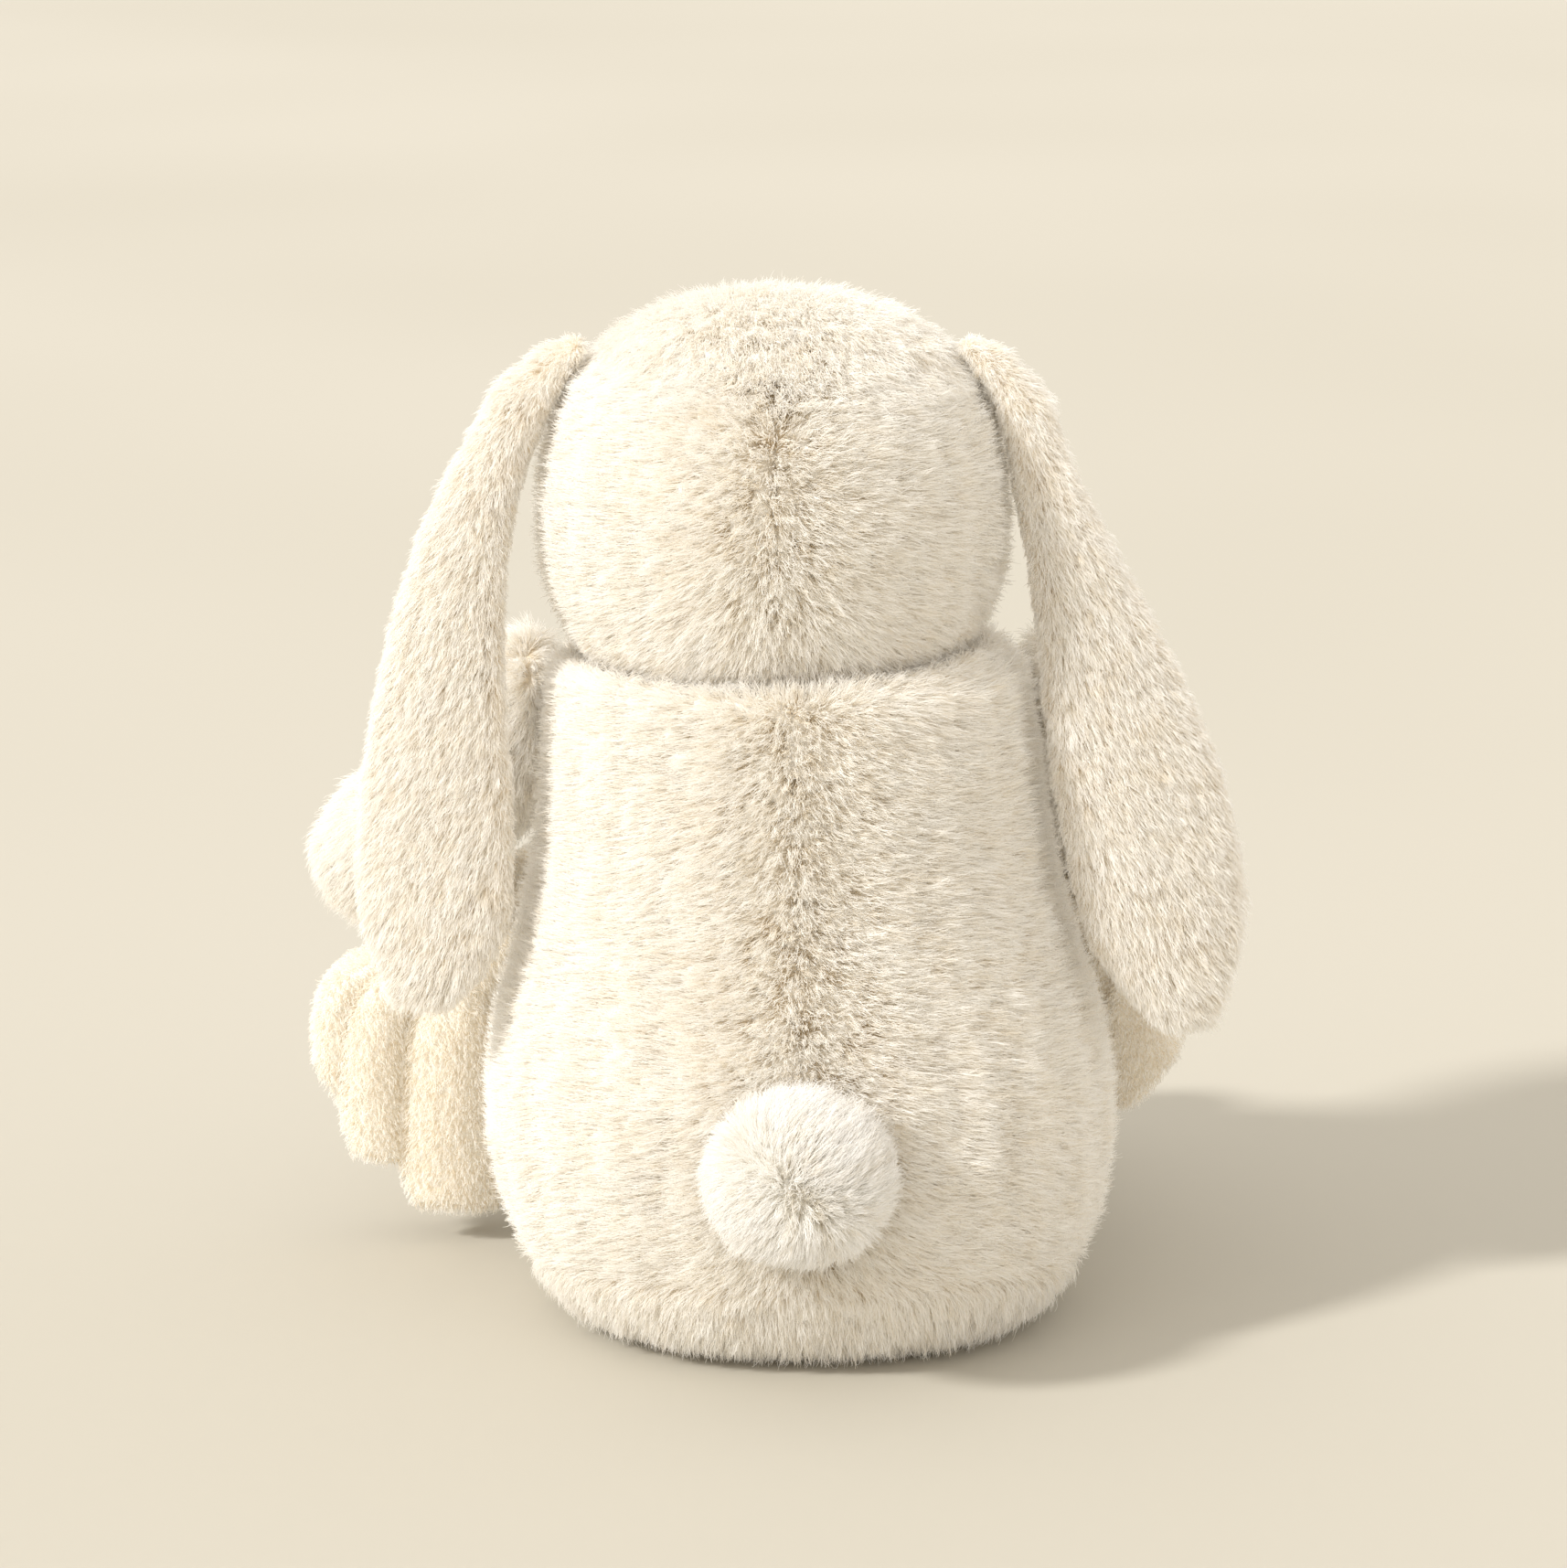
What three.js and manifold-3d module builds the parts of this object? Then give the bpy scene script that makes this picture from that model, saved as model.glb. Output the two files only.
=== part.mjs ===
// A sitting plush rabbit with long lop ears that holds a small blanket.
// Millimetres, +Z up. The origin is on the floor, under the middle of the torso.
// The rabbit looks along -Y, and its left side is on +X.
import * as THREE from 'three';
import { mergeVertices } from 'three/addons/utils/BufferGeometryUtils.js';
import Module from 'manifold-3d';

const wasm = await Module();
wasm.setup();

// Cloth and filling
const PELT = 8;            // fur fabric with its pile laid
const FILL_GAP = 1.5;      // between a fabric panel and the filling behind it
const SEAM = 0.3;          // between two panels that are sewn together
const CLEAR = 0.6;         // between pieces that move past each other

// Torso: half width and height down its side outline, from under the seat to the neck
const TORSO_OUTLINE = [
  [0, -3], [42, -2.2], [69, 3], [83.5, 14], [92, 34], [96.5, 60], [94.5, 88],
  [86.5, 115], [79, 145], [75.5, 175], [74, 195], [68, 210], [52, 217], [0, 219],
];
const TORSO_BACK = [0.96, 0.97];     // depth behind, as a share of half width, at floor and neck
const TORSO_FRONT = [0.92, 0.76];    // depth in front, the same way
const TORSO_HEIGHT = 205;
const TORSO_LEAN = [-4.5, 1];        // sideways place of the middle, at floor and neck
const TORSO_SQUARE = 2.25;           // exponent of the plan outline, 2 is an ellipse
const SEAT_SEAM = 12;                // height of the seat seam at the sides
const SEAT_SEAM_RISE = 0.21;         // how it climbs towards the back, per mm of depth
const TORSO_COLUMNS = 24;            // facets round the torso

// Head: an egg on a ball joint at its own middle
const HEAD = new THREE.Vector3(5.5, 0, 250);
const HEAD_HALF = { side: 72.5, back: 70, front: 68, up: 68.5, down: 69 };
const HEAD_SQUARE = { up: 2.3, down: 2.2 };    // exponents of its outline above and below the middle
const NECK_CUP = 74.2;               // radius of the hollow in the shoulders that the head sits in
const CROWN_EDGE = rad(48);          // latitude of the seam round the crown
const NECK_EDGE = rad(-52);          // latitude where the head panels end under the head
const CHEEK_SEAM = rad(40);          // seam between the back and cheek panels, from straight sideways
const FACE_SEAM = rad(-58);          // seam between the cheek and face panels, the same way
const NECK_PLUG = { radius: 27, bottom: 158, top: 176 };

// Face
const MUZZLE = new THREE.Vector3(5.5, -62, 233);
const MUZZLE_HALF = new THREE.Vector3(25, 17, 18);
const EYE = { turn: rad(42), latitude: rad(4), radius: 6.5, dome: 4.5, shank: 1.6, reach: 17, hole: 2 };
const PROUD_CUT = 4;         // how far a cutter runs past the face that it cuts
const WASHER = { radius: 6, hole: 1.9, thick: 1.2, gap: 1.5 };
const NOSE = { width: 15, height: 10, thick: 3.2, lift: 9.5, tilt: rad(22), corners: 0.16 };
const MOUTH = { thread: 0.8, proud: 1.2, drop: 7, sweep: 8.5 };

// Ears: places down the middle of the blade, with its half width there
const EAR_THICK = 9;
const EAR_TWIST = rad(10);
const EAR_ROOTS = { left: [59, 2, 300], right: [-47, 2, 300] };    // where each ear folds
const EAR_SWING = [0, 20, 40, 60, 80];   // degrees, the places where the ear has to clear the head
const EARS = {
  left: [
    [60, 2, 299, 7], [77, 7, 289, 10], [88, 13, 270, 10.5], [97, 18, 247, 14],
    [103.5, 22, 214, 18.5], [106.5, 26, 180, 23], [107.5, 28, 150, 25],
    [108.5, 30, 125, 23.5], [112, 31, 103, 9],
  ],
  right: [
    [-48, 2, 299, 7], [-65, 7, 288, 10], [-75, 12, 262, 10], [-84, 17, 237, 14.5],
    [-93.5, 21, 208, 20.5], [-101.5, 25, 180, 25.5], [-109, 28, 151, 27.5],
    [-115, 30, 121, 24.5], [-119.5, 31, 97, 9],
  ],
};

// Arms: from the shoulder to the paw
const ARMS = {
  left: { shoulder: [80, -30, 183], paw: [124, -63, 131], bow: -3 },
  right: { shoulder: [-78, -30, 183], paw: [-107, -71, 131], bow: 6 },
};
const ARM_RADIUS = [24, 27];
const ARM_THROAT = { radius: 13, length: 40 };    // opening in the skin towards the torso
const ARM_SWING = [0, 25, 50, 75];   // degrees, the places where the arm has to clear the torso

// Legs: straight out in front, lying just over the floor, with the feet turned up
const HIP = [45, -50, 36];
const LEG_SECTIONS = [               // place along Y, middle's height, half width, half height
  [-40, 36, 12, 12], [-46, 36, 22, 22], [-62, 34.5, 28, 29], [-90, 32, 29, 29], [-114, 34, 29.5, 31],
  [-132, 39, 32, 36.5], [-147, 42, 33, 39.5], [-156, 42.5, 29, 36], [-161, 42.5, 20, 26], [-163, 42.5, 6, 8],
];
const LEG_SPREAD = 0.05;             // sideways, per mm forward of the hip
const LEG_SWING = [0, 6, 12];
const FOOT_PAD = { width: 38, height: 50, thick: 2.5, face: -160, middle: 42.5 };
const LEG_THROAT = { radius: 16, length: 50 };    // opening in the skin towards the torso

// Tail: a round pompon
const TAIL = new THREE.Vector3(-2, 101, 71);
const TAIL_HALF = new THREE.Vector3(28, 23, 26);
const TAIL_ROOT = [-2, 84, 71];
const TAIL_THROAT = { radius: 9, length: 24 };    // opening in the skin towards the torso
const TAIL_WAG = [-15, 0, 15];

// Pellet bag that weights the seat
const PELLETS = { radius: 52, bottom: 7, top: 27 };

// Blanket: gathered across the tummy, with a pleated end that hangs on each side
const BLANKET_ROLL = { half: 13, height: 15, middle: 117, end_lift: 2 };
const LEFT_DROP = { inner: 91, outer: 154, front: -88, back: -34, top: 97, bottom: 12, rise: 0.8 };
const RIGHT_DROP = { inner: -94, outer: -126, front: -76, back: -34, top: 95, bottom: 50 };
const PLEATS = 4;

const CREAM = 0xefe6d6;
const WHITE = 0xf7f3ea;
const BLANKET_CREAM = 0xeadfc9;
const FILLING = 0xf4f2ec;

function rad(degrees) {
  return THREE.MathUtils.degToRad(degrees);
}

function signedPower(value, power) {
  return Math.sign(value) * Math.abs(value) ** power;
}

function steps(from, to, count) {
  return Array.from({ length: count + 1 }, (_, i) => from + ((to - from) * i) / count);
}

// ---- Meshes from points ----

function signedVolume(vertices, faces) {
  let sum = 0;
  const normal = new THREE.Vector3();
  for (const [a, b, c] of faces) {
    sum += vertices[a].dot(normal.crossVectors(vertices[b], vertices[c]));
  }
  return sum / 6;
}

function closedGeometry(vertices, faces) {
  const outward = signedVolume(vertices, faces) > 0;
  const ordered = outward ? faces : faces.map(([a, b, c]) => [a, c, b]);
  const geometry = new THREE.BufferGeometry().setFromPoints(vertices);
  geometry.setIndex(ordered.flat());
  return geometry;
}

function middleOf(points) {
  const sum = points.reduce((total, p) => total.add(p), new THREE.Vector3());
  return sum.divideScalar(points.length);
}

// A closed skin over rings of points, with a fan of triangles at each end.
function loft(rings) {
  const sides = rings[0].length;
  const vertices = rings.flat();
  const faces = [];
  for (let ring = 0; ring + 1 < rings.length; ring += 1) {
    for (let side = 0; side < sides; side += 1) {
      const a = ring * sides + side;
      const b = ring * sides + ((side + 1) % sides);
      faces.push([a, b, b + sides], [a, b + sides, a + sides]);
    }
  }
  for (const [ring, turn] of [[0, 1], [rings.length - 1, -1]]) {
    const hub = vertices.push(middleOf(rings[ring])) - 1;
    for (let side = 0; side < sides; side += 1) {
      const a = ring * sides + side;
      const b = ring * sides + ((side + 1) % sides);
      faces.push(turn > 0 ? [hub, b, a] : [hub, a, b]);
    }
  }
  return closedGeometry(vertices, faces);
}

// A closed panel: a stretch of a surface, from an inner to an outer offset.
// columns holds the angles, and rowsAt(angle) the places up the surface.
function panel(surface, columns, rowsAt, inner, outer) {
  const rows = rowsAt(columns[0]).length;
  const vertices = [];
  for (const offset of [outer, inner]) {
    for (const column of columns) {
      for (const row of rowsAt(column)) vertices.push(surface(column, row, offset));
    }
  }
  const layer = columns.length * rows;
  const faces = [];
  const quad = (a, b, c, d) => faces.push([a, b, c], [a, c, d]);
  for (let i = 0; i + 1 < columns.length; i += 1) {
    for (let j = 0; j + 1 < rows; j += 1) {
      const a = i * rows + j;
      quad(a, a + rows, a + rows + 1, a + 1);
      quad(layer + a, layer + a + 1, layer + a + rows + 1, layer + a + rows);
    }
    const low = i * rows;
    const high = low + rows - 1;
    quad(low, layer + low, layer + low + rows, low + rows);
    quad(high, high + rows, layer + high + rows, layer + high);
  }
  for (let j = 0; j + 1 < rows; j += 1) {
    const last = (columns.length - 1) * rows + j;
    quad(j, j + 1, layer + j + 1, layer + j);
    quad(last, layer + last, layer + last + 1, last + 1);
  }
  return closedGeometry(vertices, faces);
}

// ---- Cutting and joining ----

function toSolid(geometry) {
  const bare = geometry.clone();
  bare.deleteAttribute('normal');
  bare.deleteAttribute('uv');
  const merged = mergeVertices(bare, 1e-4);
  return new wasm.Manifold(new wasm.Mesh({
    numProp: 3,
    vertProperties: new Float32Array(merged.attributes.position.array),
    triVerts: new Uint32Array(merged.index.array),
  }));
}

function toGeometry(solid) {
  const mesh = solid.getMesh();
  const geometry = new THREE.BufferGeometry();
  geometry.setAttribute('position', new THREE.BufferAttribute(mesh.vertProperties, 3));
  geometry.setIndex(new THREE.BufferAttribute(mesh.triVerts, 1));
  return geometry;
}

function cut(geometry, ...cutters) {
  const solid = cutters.reduce((left, cutter) => left.subtract(toSolid(cutter)), toSolid(geometry));
  return toGeometry(solid);
}

function boxBetween(low, high) {
  const [x, y, z] = low.map((value, i) => (value + high[i]) / 2);
  const size = low.map((value, i) => high[i] - value);
  return new THREE.BoxGeometry(...size).translate(x, y, z);
}

// Everything on the far side of a plane, away from its normal, for cutting.
function halfSpace(point, normal, shift) {
  const size = 400;
  const turn = new THREE.Quaternion().setFromUnitVectors(new THREE.Vector3(0, 0, 1), normal);
  return new THREE.BoxGeometry(size, size, size).translate(0, 0, -shift - size / 2)
    .applyQuaternion(turn).translate(...point);
}

function turnedAbout(geometry, point, axis, degrees) {
  const [x, y, z] = point;
  const turn = new THREE.Matrix4().makeRotationAxis(axis, rad(degrees));
  return geometry.clone().translate(-x, -y, -z).applyMatrix4(turn).translate(x, y, z);
}

const BELOW_FLOOR = boxBetween([-300, -300, -60], [300, 300, 0]);

// ---- Torso ----

const torsoCurve = new THREE.SplineCurve(TORSO_OUTLINE.map(([w, z]) => new THREE.Vector2(w, z)));

function upTorso([floor, neck], z) {
  return THREE.MathUtils.lerp(floor, neck, THREE.MathUtils.clamp(z / TORSO_HEIGHT, 0, 1));
}

function torsoPoint(angle, along, offset) {
  const place = torsoCurve.getPointAt(along);
  const tangent = torsoCurve.getTangentAt(along);
  const radius = Math.max(place.x + tangent.y * offset, 0.01);
  const z = place.y - tangent.x * offset;
  const depth = upTorso(Math.sin(angle) > 0 ? TORSO_BACK : TORSO_FRONT, z);
  const power = 2 / TORSO_SQUARE;
  return new THREE.Vector3(
    upTorso(TORSO_LEAN, z) + radius * signedPower(Math.cos(angle), power),
    radius * depth * signedPower(Math.sin(angle), power),
    z,
  );
}

// The place along the outline where the torso reaches a height.
function alongAtHeight(height) {
  let [low, high] = [0, 1];
  for (let i = 0; i < 30; i += 1) {
    const middle = (low + high) / 2;
    if (torsoCurve.getPointAt(middle).y < height) low = middle;
    else high = middle;
  }
  return low;
}

function seatSeam(angle) {
  const behind = Math.max(torsoPoint(angle, alongAtHeight(SEAT_SEAM), 0).y, 0);
  return SEAT_SEAM + SEAT_SEAM_RISE * behind;
}

function torsoPanel(from, to, columns) {
  const gap = SEAM / 2 / 80;
  const rowsAt = (angle) => steps(alongAtHeight(seatSeam(angle) + SEAM), 0.9, 11);
  const whole = panel(torsoPoint, steps(from + gap, to - gap, columns), rowsAt, -PELT, 0);
  return cut(whole, neckCup);
}

function rounded(surface, sides, along, offset) {
  return along.map((place) => steps(0, 2 * Math.PI, sides).slice(1)
    .map((angle) => surface(angle, place, offset)));
}

function seatPanel() {
  const angles = steps(0, 2 * Math.PI, TORSO_COLUMNS).slice(1);
  const shares = [0.02, 0.4, 0.6, 0.72, 0.82, 0.91, 1];
  const ring = (share, offset) => angles.map((angle) => torsoPoint(
    angle, share * alongAtHeight(seatSeam(angle) - SEAM), offset,
  ));
  const outside = shares.map((share) => ring(share, 0));
  const inside = shares.map((share) => ring(share, -PELT)).reverse();
  return cut(loft([...outside, ...inside]), BELOW_FLOOR);
}

function pelletBag(extra) {
  const { radius, bottom, top } = PELLETS;
  const low = extra > 0 ? bottom - 20 : bottom;
  const middle = (bottom + top) / 2;
  const profile = [
    [0, low], [radius - 5 + extra, low], [radius + extra, middle],
    [radius * 0.7 + extra, top - 3 + extra], [0, top + extra],
  ];
  const geometry = new THREE.LatheGeometry(profile.map(([r, z]) => new THREE.Vector2(r, z)), 20);
  return geometry.rotateX(Math.PI / 2).translate(TORSO_LEAN[0], 0, 0);
}

function neckPlug(extra) {
  const { radius, bottom, top } = NECK_PLUG;
  const profile = [
    [0, bottom - extra], [radius + extra, bottom - extra],
    [radius + extra, top + extra * 20], [0, top + extra * 20],
  ];
  const geometry = new THREE.LatheGeometry(profile.map(([r, z]) => new THREE.Vector2(r, z)), 20);
  return geometry.rotateX(Math.PI / 2).translate(HEAD.x, HEAD.y, 0);
}

const neckCup = new THREE.SphereGeometry(NECK_CUP + 0.5, 32, 20).rotateX(Math.PI / 2)
  .translate(...HEAD.toArray());

function torsoFilling() {
  const along = steps(0.02, 0.97, 14);
  const whole = loft(rounded(torsoPoint, TORSO_COLUMNS, along, -PELT - FILL_GAP));
  return cut(whole, neckCup, pelletBag(CLEAR), neckPlug(CLEAR));
}

// The outside of the torso, for cutting limbs to it. It stands off by the clearance.
const torsoOutside = loft(rounded(torsoPoint, TORSO_COLUMNS, steps(0.01, 0.99, 28), CLEAR + 0.6));

// ---- Head ----

function headPoint(angle, latitude, offset) {
  const power = 2 / (latitude > 0 ? HEAD_SQUARE.up : HEAD_SQUARE.down);
  const level = signedPower(Math.cos(latitude), power);
  const height = signedPower(Math.sin(latitude), power);
  const depth = (Math.sin(angle) > 0 ? HEAD_HALF.back : HEAD_HALF.front) + offset;
  const tall = (latitude > 0 ? HEAD_HALF.up : HEAD_HALF.down) + offset;
  return new THREE.Vector3(
    HEAD.x + (HEAD_HALF.side + offset) * level * Math.cos(angle),
    HEAD.y + depth * level * Math.sin(angle),
    HEAD.z + tall * height,
  );
}

function headPanel(from, to, columns) {
  const gap = SEAM / 2 / 55;
  const rows = steps(NECK_EDGE, CROWN_EDGE - gap, 8);
  return panel(headPoint, steps(from + gap, to - gap, columns), () => rows, -PELT, 0);
}

function crownPanel() {
  const latitudes = steps(CROWN_EDGE + SEAM / 50, Math.PI / 2 - 0.02, 3);
  const outside = rounded(headPoint, 20, latitudes, 0);
  const inside = rounded(headPoint, 20, latitudes, -PELT);
  return loft([...outside.reverse(), ...inside]);
}

function headFilling() {
  const latitudes = steps(-Math.PI / 2 + 0.02, Math.PI / 2 - 0.02, 12);
  return loft(rounded(headPoint, 20, latitudes, -PELT - FILL_GAP));
}

// ---- Face ----

function muzzlePoint(across, up, proud) {
  const direction = new THREE.Vector3(
    Math.sin(across) * Math.cos(up), -Math.cos(across) * Math.cos(up), Math.sin(up),
  );
  const half = MUZZLE_HALF.clone().addScalar(proud);
  return direction.multiply(half).add(MUZZLE);
}

function muzzleBall(extra) {
  const half = MUZZLE_HALF.clone().addScalar(extra);
  return new THREE.SphereGeometry(1, 18, 12).scale(...half.toArray()).translate(...MUZZLE.toArray());
}

function headOutside(extra) {
  return loft(rounded(headPoint, 40, steps(-Math.PI / 2 + 0.02, Math.PI / 2 - 0.02, 24), extra));
}

// A cushioned triangle with round corners, point down.
function nosePad() {
  const { width, height, thick, lift, tilt, corners } = NOSE;
  const layers = [[0.55, 0], [0.9, 0.25], [1, 0.55], [0.86, 0.84], [0.5, 1]];
  const rings = layers.map(([size, out]) => steps(0, 2 * Math.PI, 18).slice(1).map((angle) => {
    const round = 1 - corners - corners * Math.sin(3 * angle);
    const x = (width / 2) * size * round * Math.cos(angle);
    const z = (height / 2) * size * round * Math.sin(angle);
    return new THREE.Vector3(x, -out * thick * 2, z);
  }));
  const pad = loft(rings).rotateX(-tilt);
  pad.translate(MUZZLE.x, MUZZLE.y - MUZZLE_HALF.y + thick, MUZZLE.z + lift);
  return cut(pad, muzzleBall(SEAM), headOutside(SEAM));
}

function mouthStroke(side) {
  const { thread, proud, drop, sweep } = MOUTH;
  const start = rad(12);
  const points = [[0, 0], [0, 1], [0.35, 1.25], [0.75, 1.15], [1, 0.75]].map(([out, down]) => {
    const across = side * (rad(1.4) + (out * sweep) / MUZZLE_HALF.x);
    return muzzlePoint(across, start - (down * drop) / MUZZLE_HALF.z, proud);
  });
  const section = new THREE.Shape().absarc(0, 0, thread, 0, 2 * Math.PI);
  return new THREE.ExtrudeGeometry(section, {
    steps: 12, curveSegments: 3, extrudePath: new THREE.CatmullRomCurve3(points),
  });
}

function mouthStitch() {
  return toGeometry(toSolid(mouthStroke(1)).add(toSolid(mouthStroke(-1))));
}

// Places a piece that was turned about the Z axis so that its axis comes out of the cheek.
function outOfCheek(geometry, side) {
  const angle = -Math.PI / 2 + side * EYE.turn;
  const place = headPoint(angle, EYE.latitude, 0);
  const outward = place.clone().sub(HEAD).normalize();
  const turn = new THREE.Quaternion().setFromUnitVectors(new THREE.Vector3(0, 0, 1), outward);
  return geometry.applyQuaternion(turn).translate(...place.toArray());
}

function turned(profile, sides) {
  const points = profile.map(([r, z]) => new THREE.Vector2(r, z));
  return new THREE.LatheGeometry(points, sides).rotateX(Math.PI / 2);
}

function eye(side) {
  const { radius, dome, shank, reach } = EYE;
  const arc = steps(0, Math.PI / 2, 5).map((a) => [radius * Math.cos(a), 0.8 + dome * Math.sin(a)]);
  arc[arc.length - 1][0] = 0;
  return outOfCheek(turned([[0, -reach], [shank, -reach], [shank, 0.5], [radius, 0.5], ...arc], 16), side);
}

function washer(side) {
  const { radius, hole, thick, gap } = WASHER;
  const top = -PELT - FILL_GAP - gap;
  const ring = [[hole, top - thick], [radius, top - thick], [radius, top], [hole, top], [hole, top - thick]];
  return outOfCheek(turned(ring, 14), side);
}

function eyeHole(side) {
  const bottom = -PELT - PROUD_CUT;
  const profile = [[0, bottom], [EYE.hole, bottom], [EYE.hole, PROUD_CUT], [0, PROUD_CUT]];
  return outOfCheek(turned(profile, 12), side);
}

function washerPocket(side) {
  const wide = WASHER.radius + CLEAR;
  const bottom = -EYE.reach - 1;
  return outOfCheek(turned([[0, bottom], [wide, bottom], [wide, PROUD_CUT], [0, PROUD_CUT]], 14), side);
}

// ---- Ears ----

// Half of an ear blade: the fur half faces back, and the lining half faces forward.
function earHalf(name, facing) {
  const places = EARS[name];
  const middle = new THREE.CatmullRomCurve3(places.map(([x, y, z]) => new THREE.Vector3(x, y, z)));
  const widths = new THREE.SplineCurve(places.map(([, , , half], i) => (
    new THREE.Vector2(i / (places.length - 1), half)
  )));
  const side = Math.sign(places[0][0]);
  const rings = steps(0, 1, 13).map((t) => {
    const centre = middle.getPoint(t);
    const down = middle.getTangent(t);
    const across = new THREE.Vector3(side * Math.cos(EAR_TWIST), -Math.sin(EAR_TWIST), 0);
    across.addScaledVector(down, -across.dot(down)).normalize();
    const back = new THREE.Vector3().crossVectors(across, down).normalize();
    if (back.y < 0) back.negate();
    const half = widths.getPoint(t).y;
    const thick = EAR_THICK * Math.min(1, 0.35 + half / 18);
    return steps(0, Math.PI, 7).map((angle) => centre.clone()
      .addScaledVector(across, half * signedPower(Math.cos(angle), 0.9))
      .addScaledVector(back, facing * (thick * Math.sin(angle) + SEAM / 2)));
  });
  const fold = new THREE.Vector3(0, -side, 0);
  const head = EAR_SWING.map((degrees) => turnedAbout(headOutside(CLEAR), EAR_ROOTS[name], fold, -degrees));
  return cut(loft(rings), ...head);
}

// ---- Limbs ----

// A round-ended limb along a curve, with its radius going from the first to the second.
function limb(curve, [from, to], sides, inset) {
  const length = curve.getLength();
  const trim = inset / length;
  const ends = 5;
  const places = [0, 0.03, 0.1, 0.22, 0.4, 0.6, 0.78, 0.9, 0.97, 1];
  const rings = places.map((place) => {
    const t = THREE.MathUtils.lerp(trim, 1 - trim, place);
    const round = (1 - Math.min(Math.abs(2 * place - 1), 0.999) ** ends) ** (1 / ends);
    const radius = (THREE.MathUtils.lerp(from, to, t) - inset) * round;
    const centre = curve.getPointAt(t);
    const along = curve.getTangentAt(t);
    const across = new THREE.Vector3(1, 0, 0).addScaledVector(along, -along.x).normalize();
    const up = new THREE.Vector3().crossVectors(along, across);
    return steps(0, 2 * Math.PI, sides).slice(1).map((angle) => centre.clone()
      .addScaledVector(across, radius * Math.cos(angle))
      .addScaledVector(up, radius * Math.sin(angle)));
  });
  return loft(rings);
}

function armCurve({ shoulder, paw, bow }) {
  const start = new THREE.Vector3(...shoulder);
  const end = new THREE.Vector3(...paw);
  const along = end.clone().sub(start).normalize();
  const first = start.clone().addScaledVector(along, -22);
  const last = end.clone().addScaledVector(along, 27);
  const middle = start.clone().add(end).multiplyScalar(0.5);
  middle.x += Math.sign(start.x) * bow;
  return new THREE.CatmullRomCurve3([first, start, middle, end, last]);
}

const X_AXIS = new THREE.Vector3(1, 0, 0);
const Z_AXIS = new THREE.Vector3(0, 0, 1);

// In the limb's own frame, the torso swings the other way.
function torsoAsSeenFrom(pivot, axis, swings, sense) {
  return swings.map((degrees) => turnedAbout(torsoOutside, pivot, axis, -sense * degrees));
}

function armPieces(arm) {
  const curve = armCurve(arm);
  const torso = torsoAsSeenFrom(arm.shoulder, X_AXIS, ARM_SWING, -1);
  const filling = limb(curve, ARM_RADIUS, 12, PELT + FILL_GAP);
  const room = limb(curve, ARM_RADIUS, 12, PELT);
  const { radius, length } = ARM_THROAT;
  const [x, y, z] = arm.shoulder;
  const throat = new THREE.CylinderGeometry(radius, radius, length, 14).rotateZ(Math.PI / 2)
    .translate(x - (Math.sign(x) * length) / 2, y, z);
  const skin = cut(limb(curve, ARM_RADIUS, 12, 0), room, throat, ...torso);
  const along = new THREE.Vector3(...arm.paw).sub(new THREE.Vector3(...arm.shoulder)).normalize();
  const forward = new THREE.Vector3(0, -1, 0);
  forward.addScaledVector(along, -forward.dot(along)).normalize();
  const middle = curve.getPointAt(0.5).toArray();
  return {
    front: cut(skin, halfSpace(middle, forward, -SEAM / 2)),
    back: cut(skin, halfSpace(middle, forward.clone().negate(), -SEAM / 2)),
    filling: cut(filling, ...torso),
  };
}

function legMiddle(side, y) {
  return side * (HIP[0] + LEG_SPREAD * (HIP[1] - y));
}

// The leg, drawn in by the inset on every side.
function legShape(side, inset) {
  const [first, last] = [LEG_SECTIONS[0][0], LEG_SECTIONS[LEG_SECTIONS.length - 1][0]];
  return loft(LEG_SECTIONS.map(([y, z, width, height]) => {
    const place = THREE.MathUtils.mapLinear(y, first, last, first - inset, last + inset);
    return steps(0, 2 * Math.PI, 12).slice(1).map((angle) => new THREE.Vector3(
      legMiddle(side, y) + Math.max(width - inset, 1) * Math.cos(angle),
      place,
      z + Math.max(height - inset, 1) * Math.sin(angle),
    ));
  }));
}

function legPieces(side) {
  const torso = torsoAsSeenFrom([side * HIP[0], HIP[1], HIP[2]], X_AXIS, LEG_SWING, -1);
  const { radius, length } = LEG_THROAT;
  const mouth = new THREE.CylinderGeometry(radius, radius, length, 14)
    .translate(side * HIP[0], HIP[1] - 6, HIP[2]);
  const skin = cut(legShape(side, 0), legShape(side, PELT), mouth, footPad(side, SEAM), ...torso);
  const [x, y, z] = [side * HIP[0], HIP[1] - 60, HIP[2] - 1];
  return {
    top: cut(skin, halfSpace([x, y, z], Z_AXIS, -SEAM / 2)),
    under: cut(skin, halfSpace([x, y, z], Z_AXIS.clone().negate(), -SEAM / 2)),
    filling: cut(legShape(side, PELT + FILL_GAP), ...torso),
  };
}

// The sole: an oval patch set into the end of the foot.
function footPad(side, extra) {
  const { width, height, thick, face, middle } = FOOT_PAD;
  const pad = new THREE.CylinderGeometry(1, 1, thick + extra * 2, 20);
  pad.scale(width / 2 + extra, 1, height / 2 + extra);
  return pad.translate(legMiddle(side, face), face + thick / 2, middle);
}

// ---- Tail ----

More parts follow.
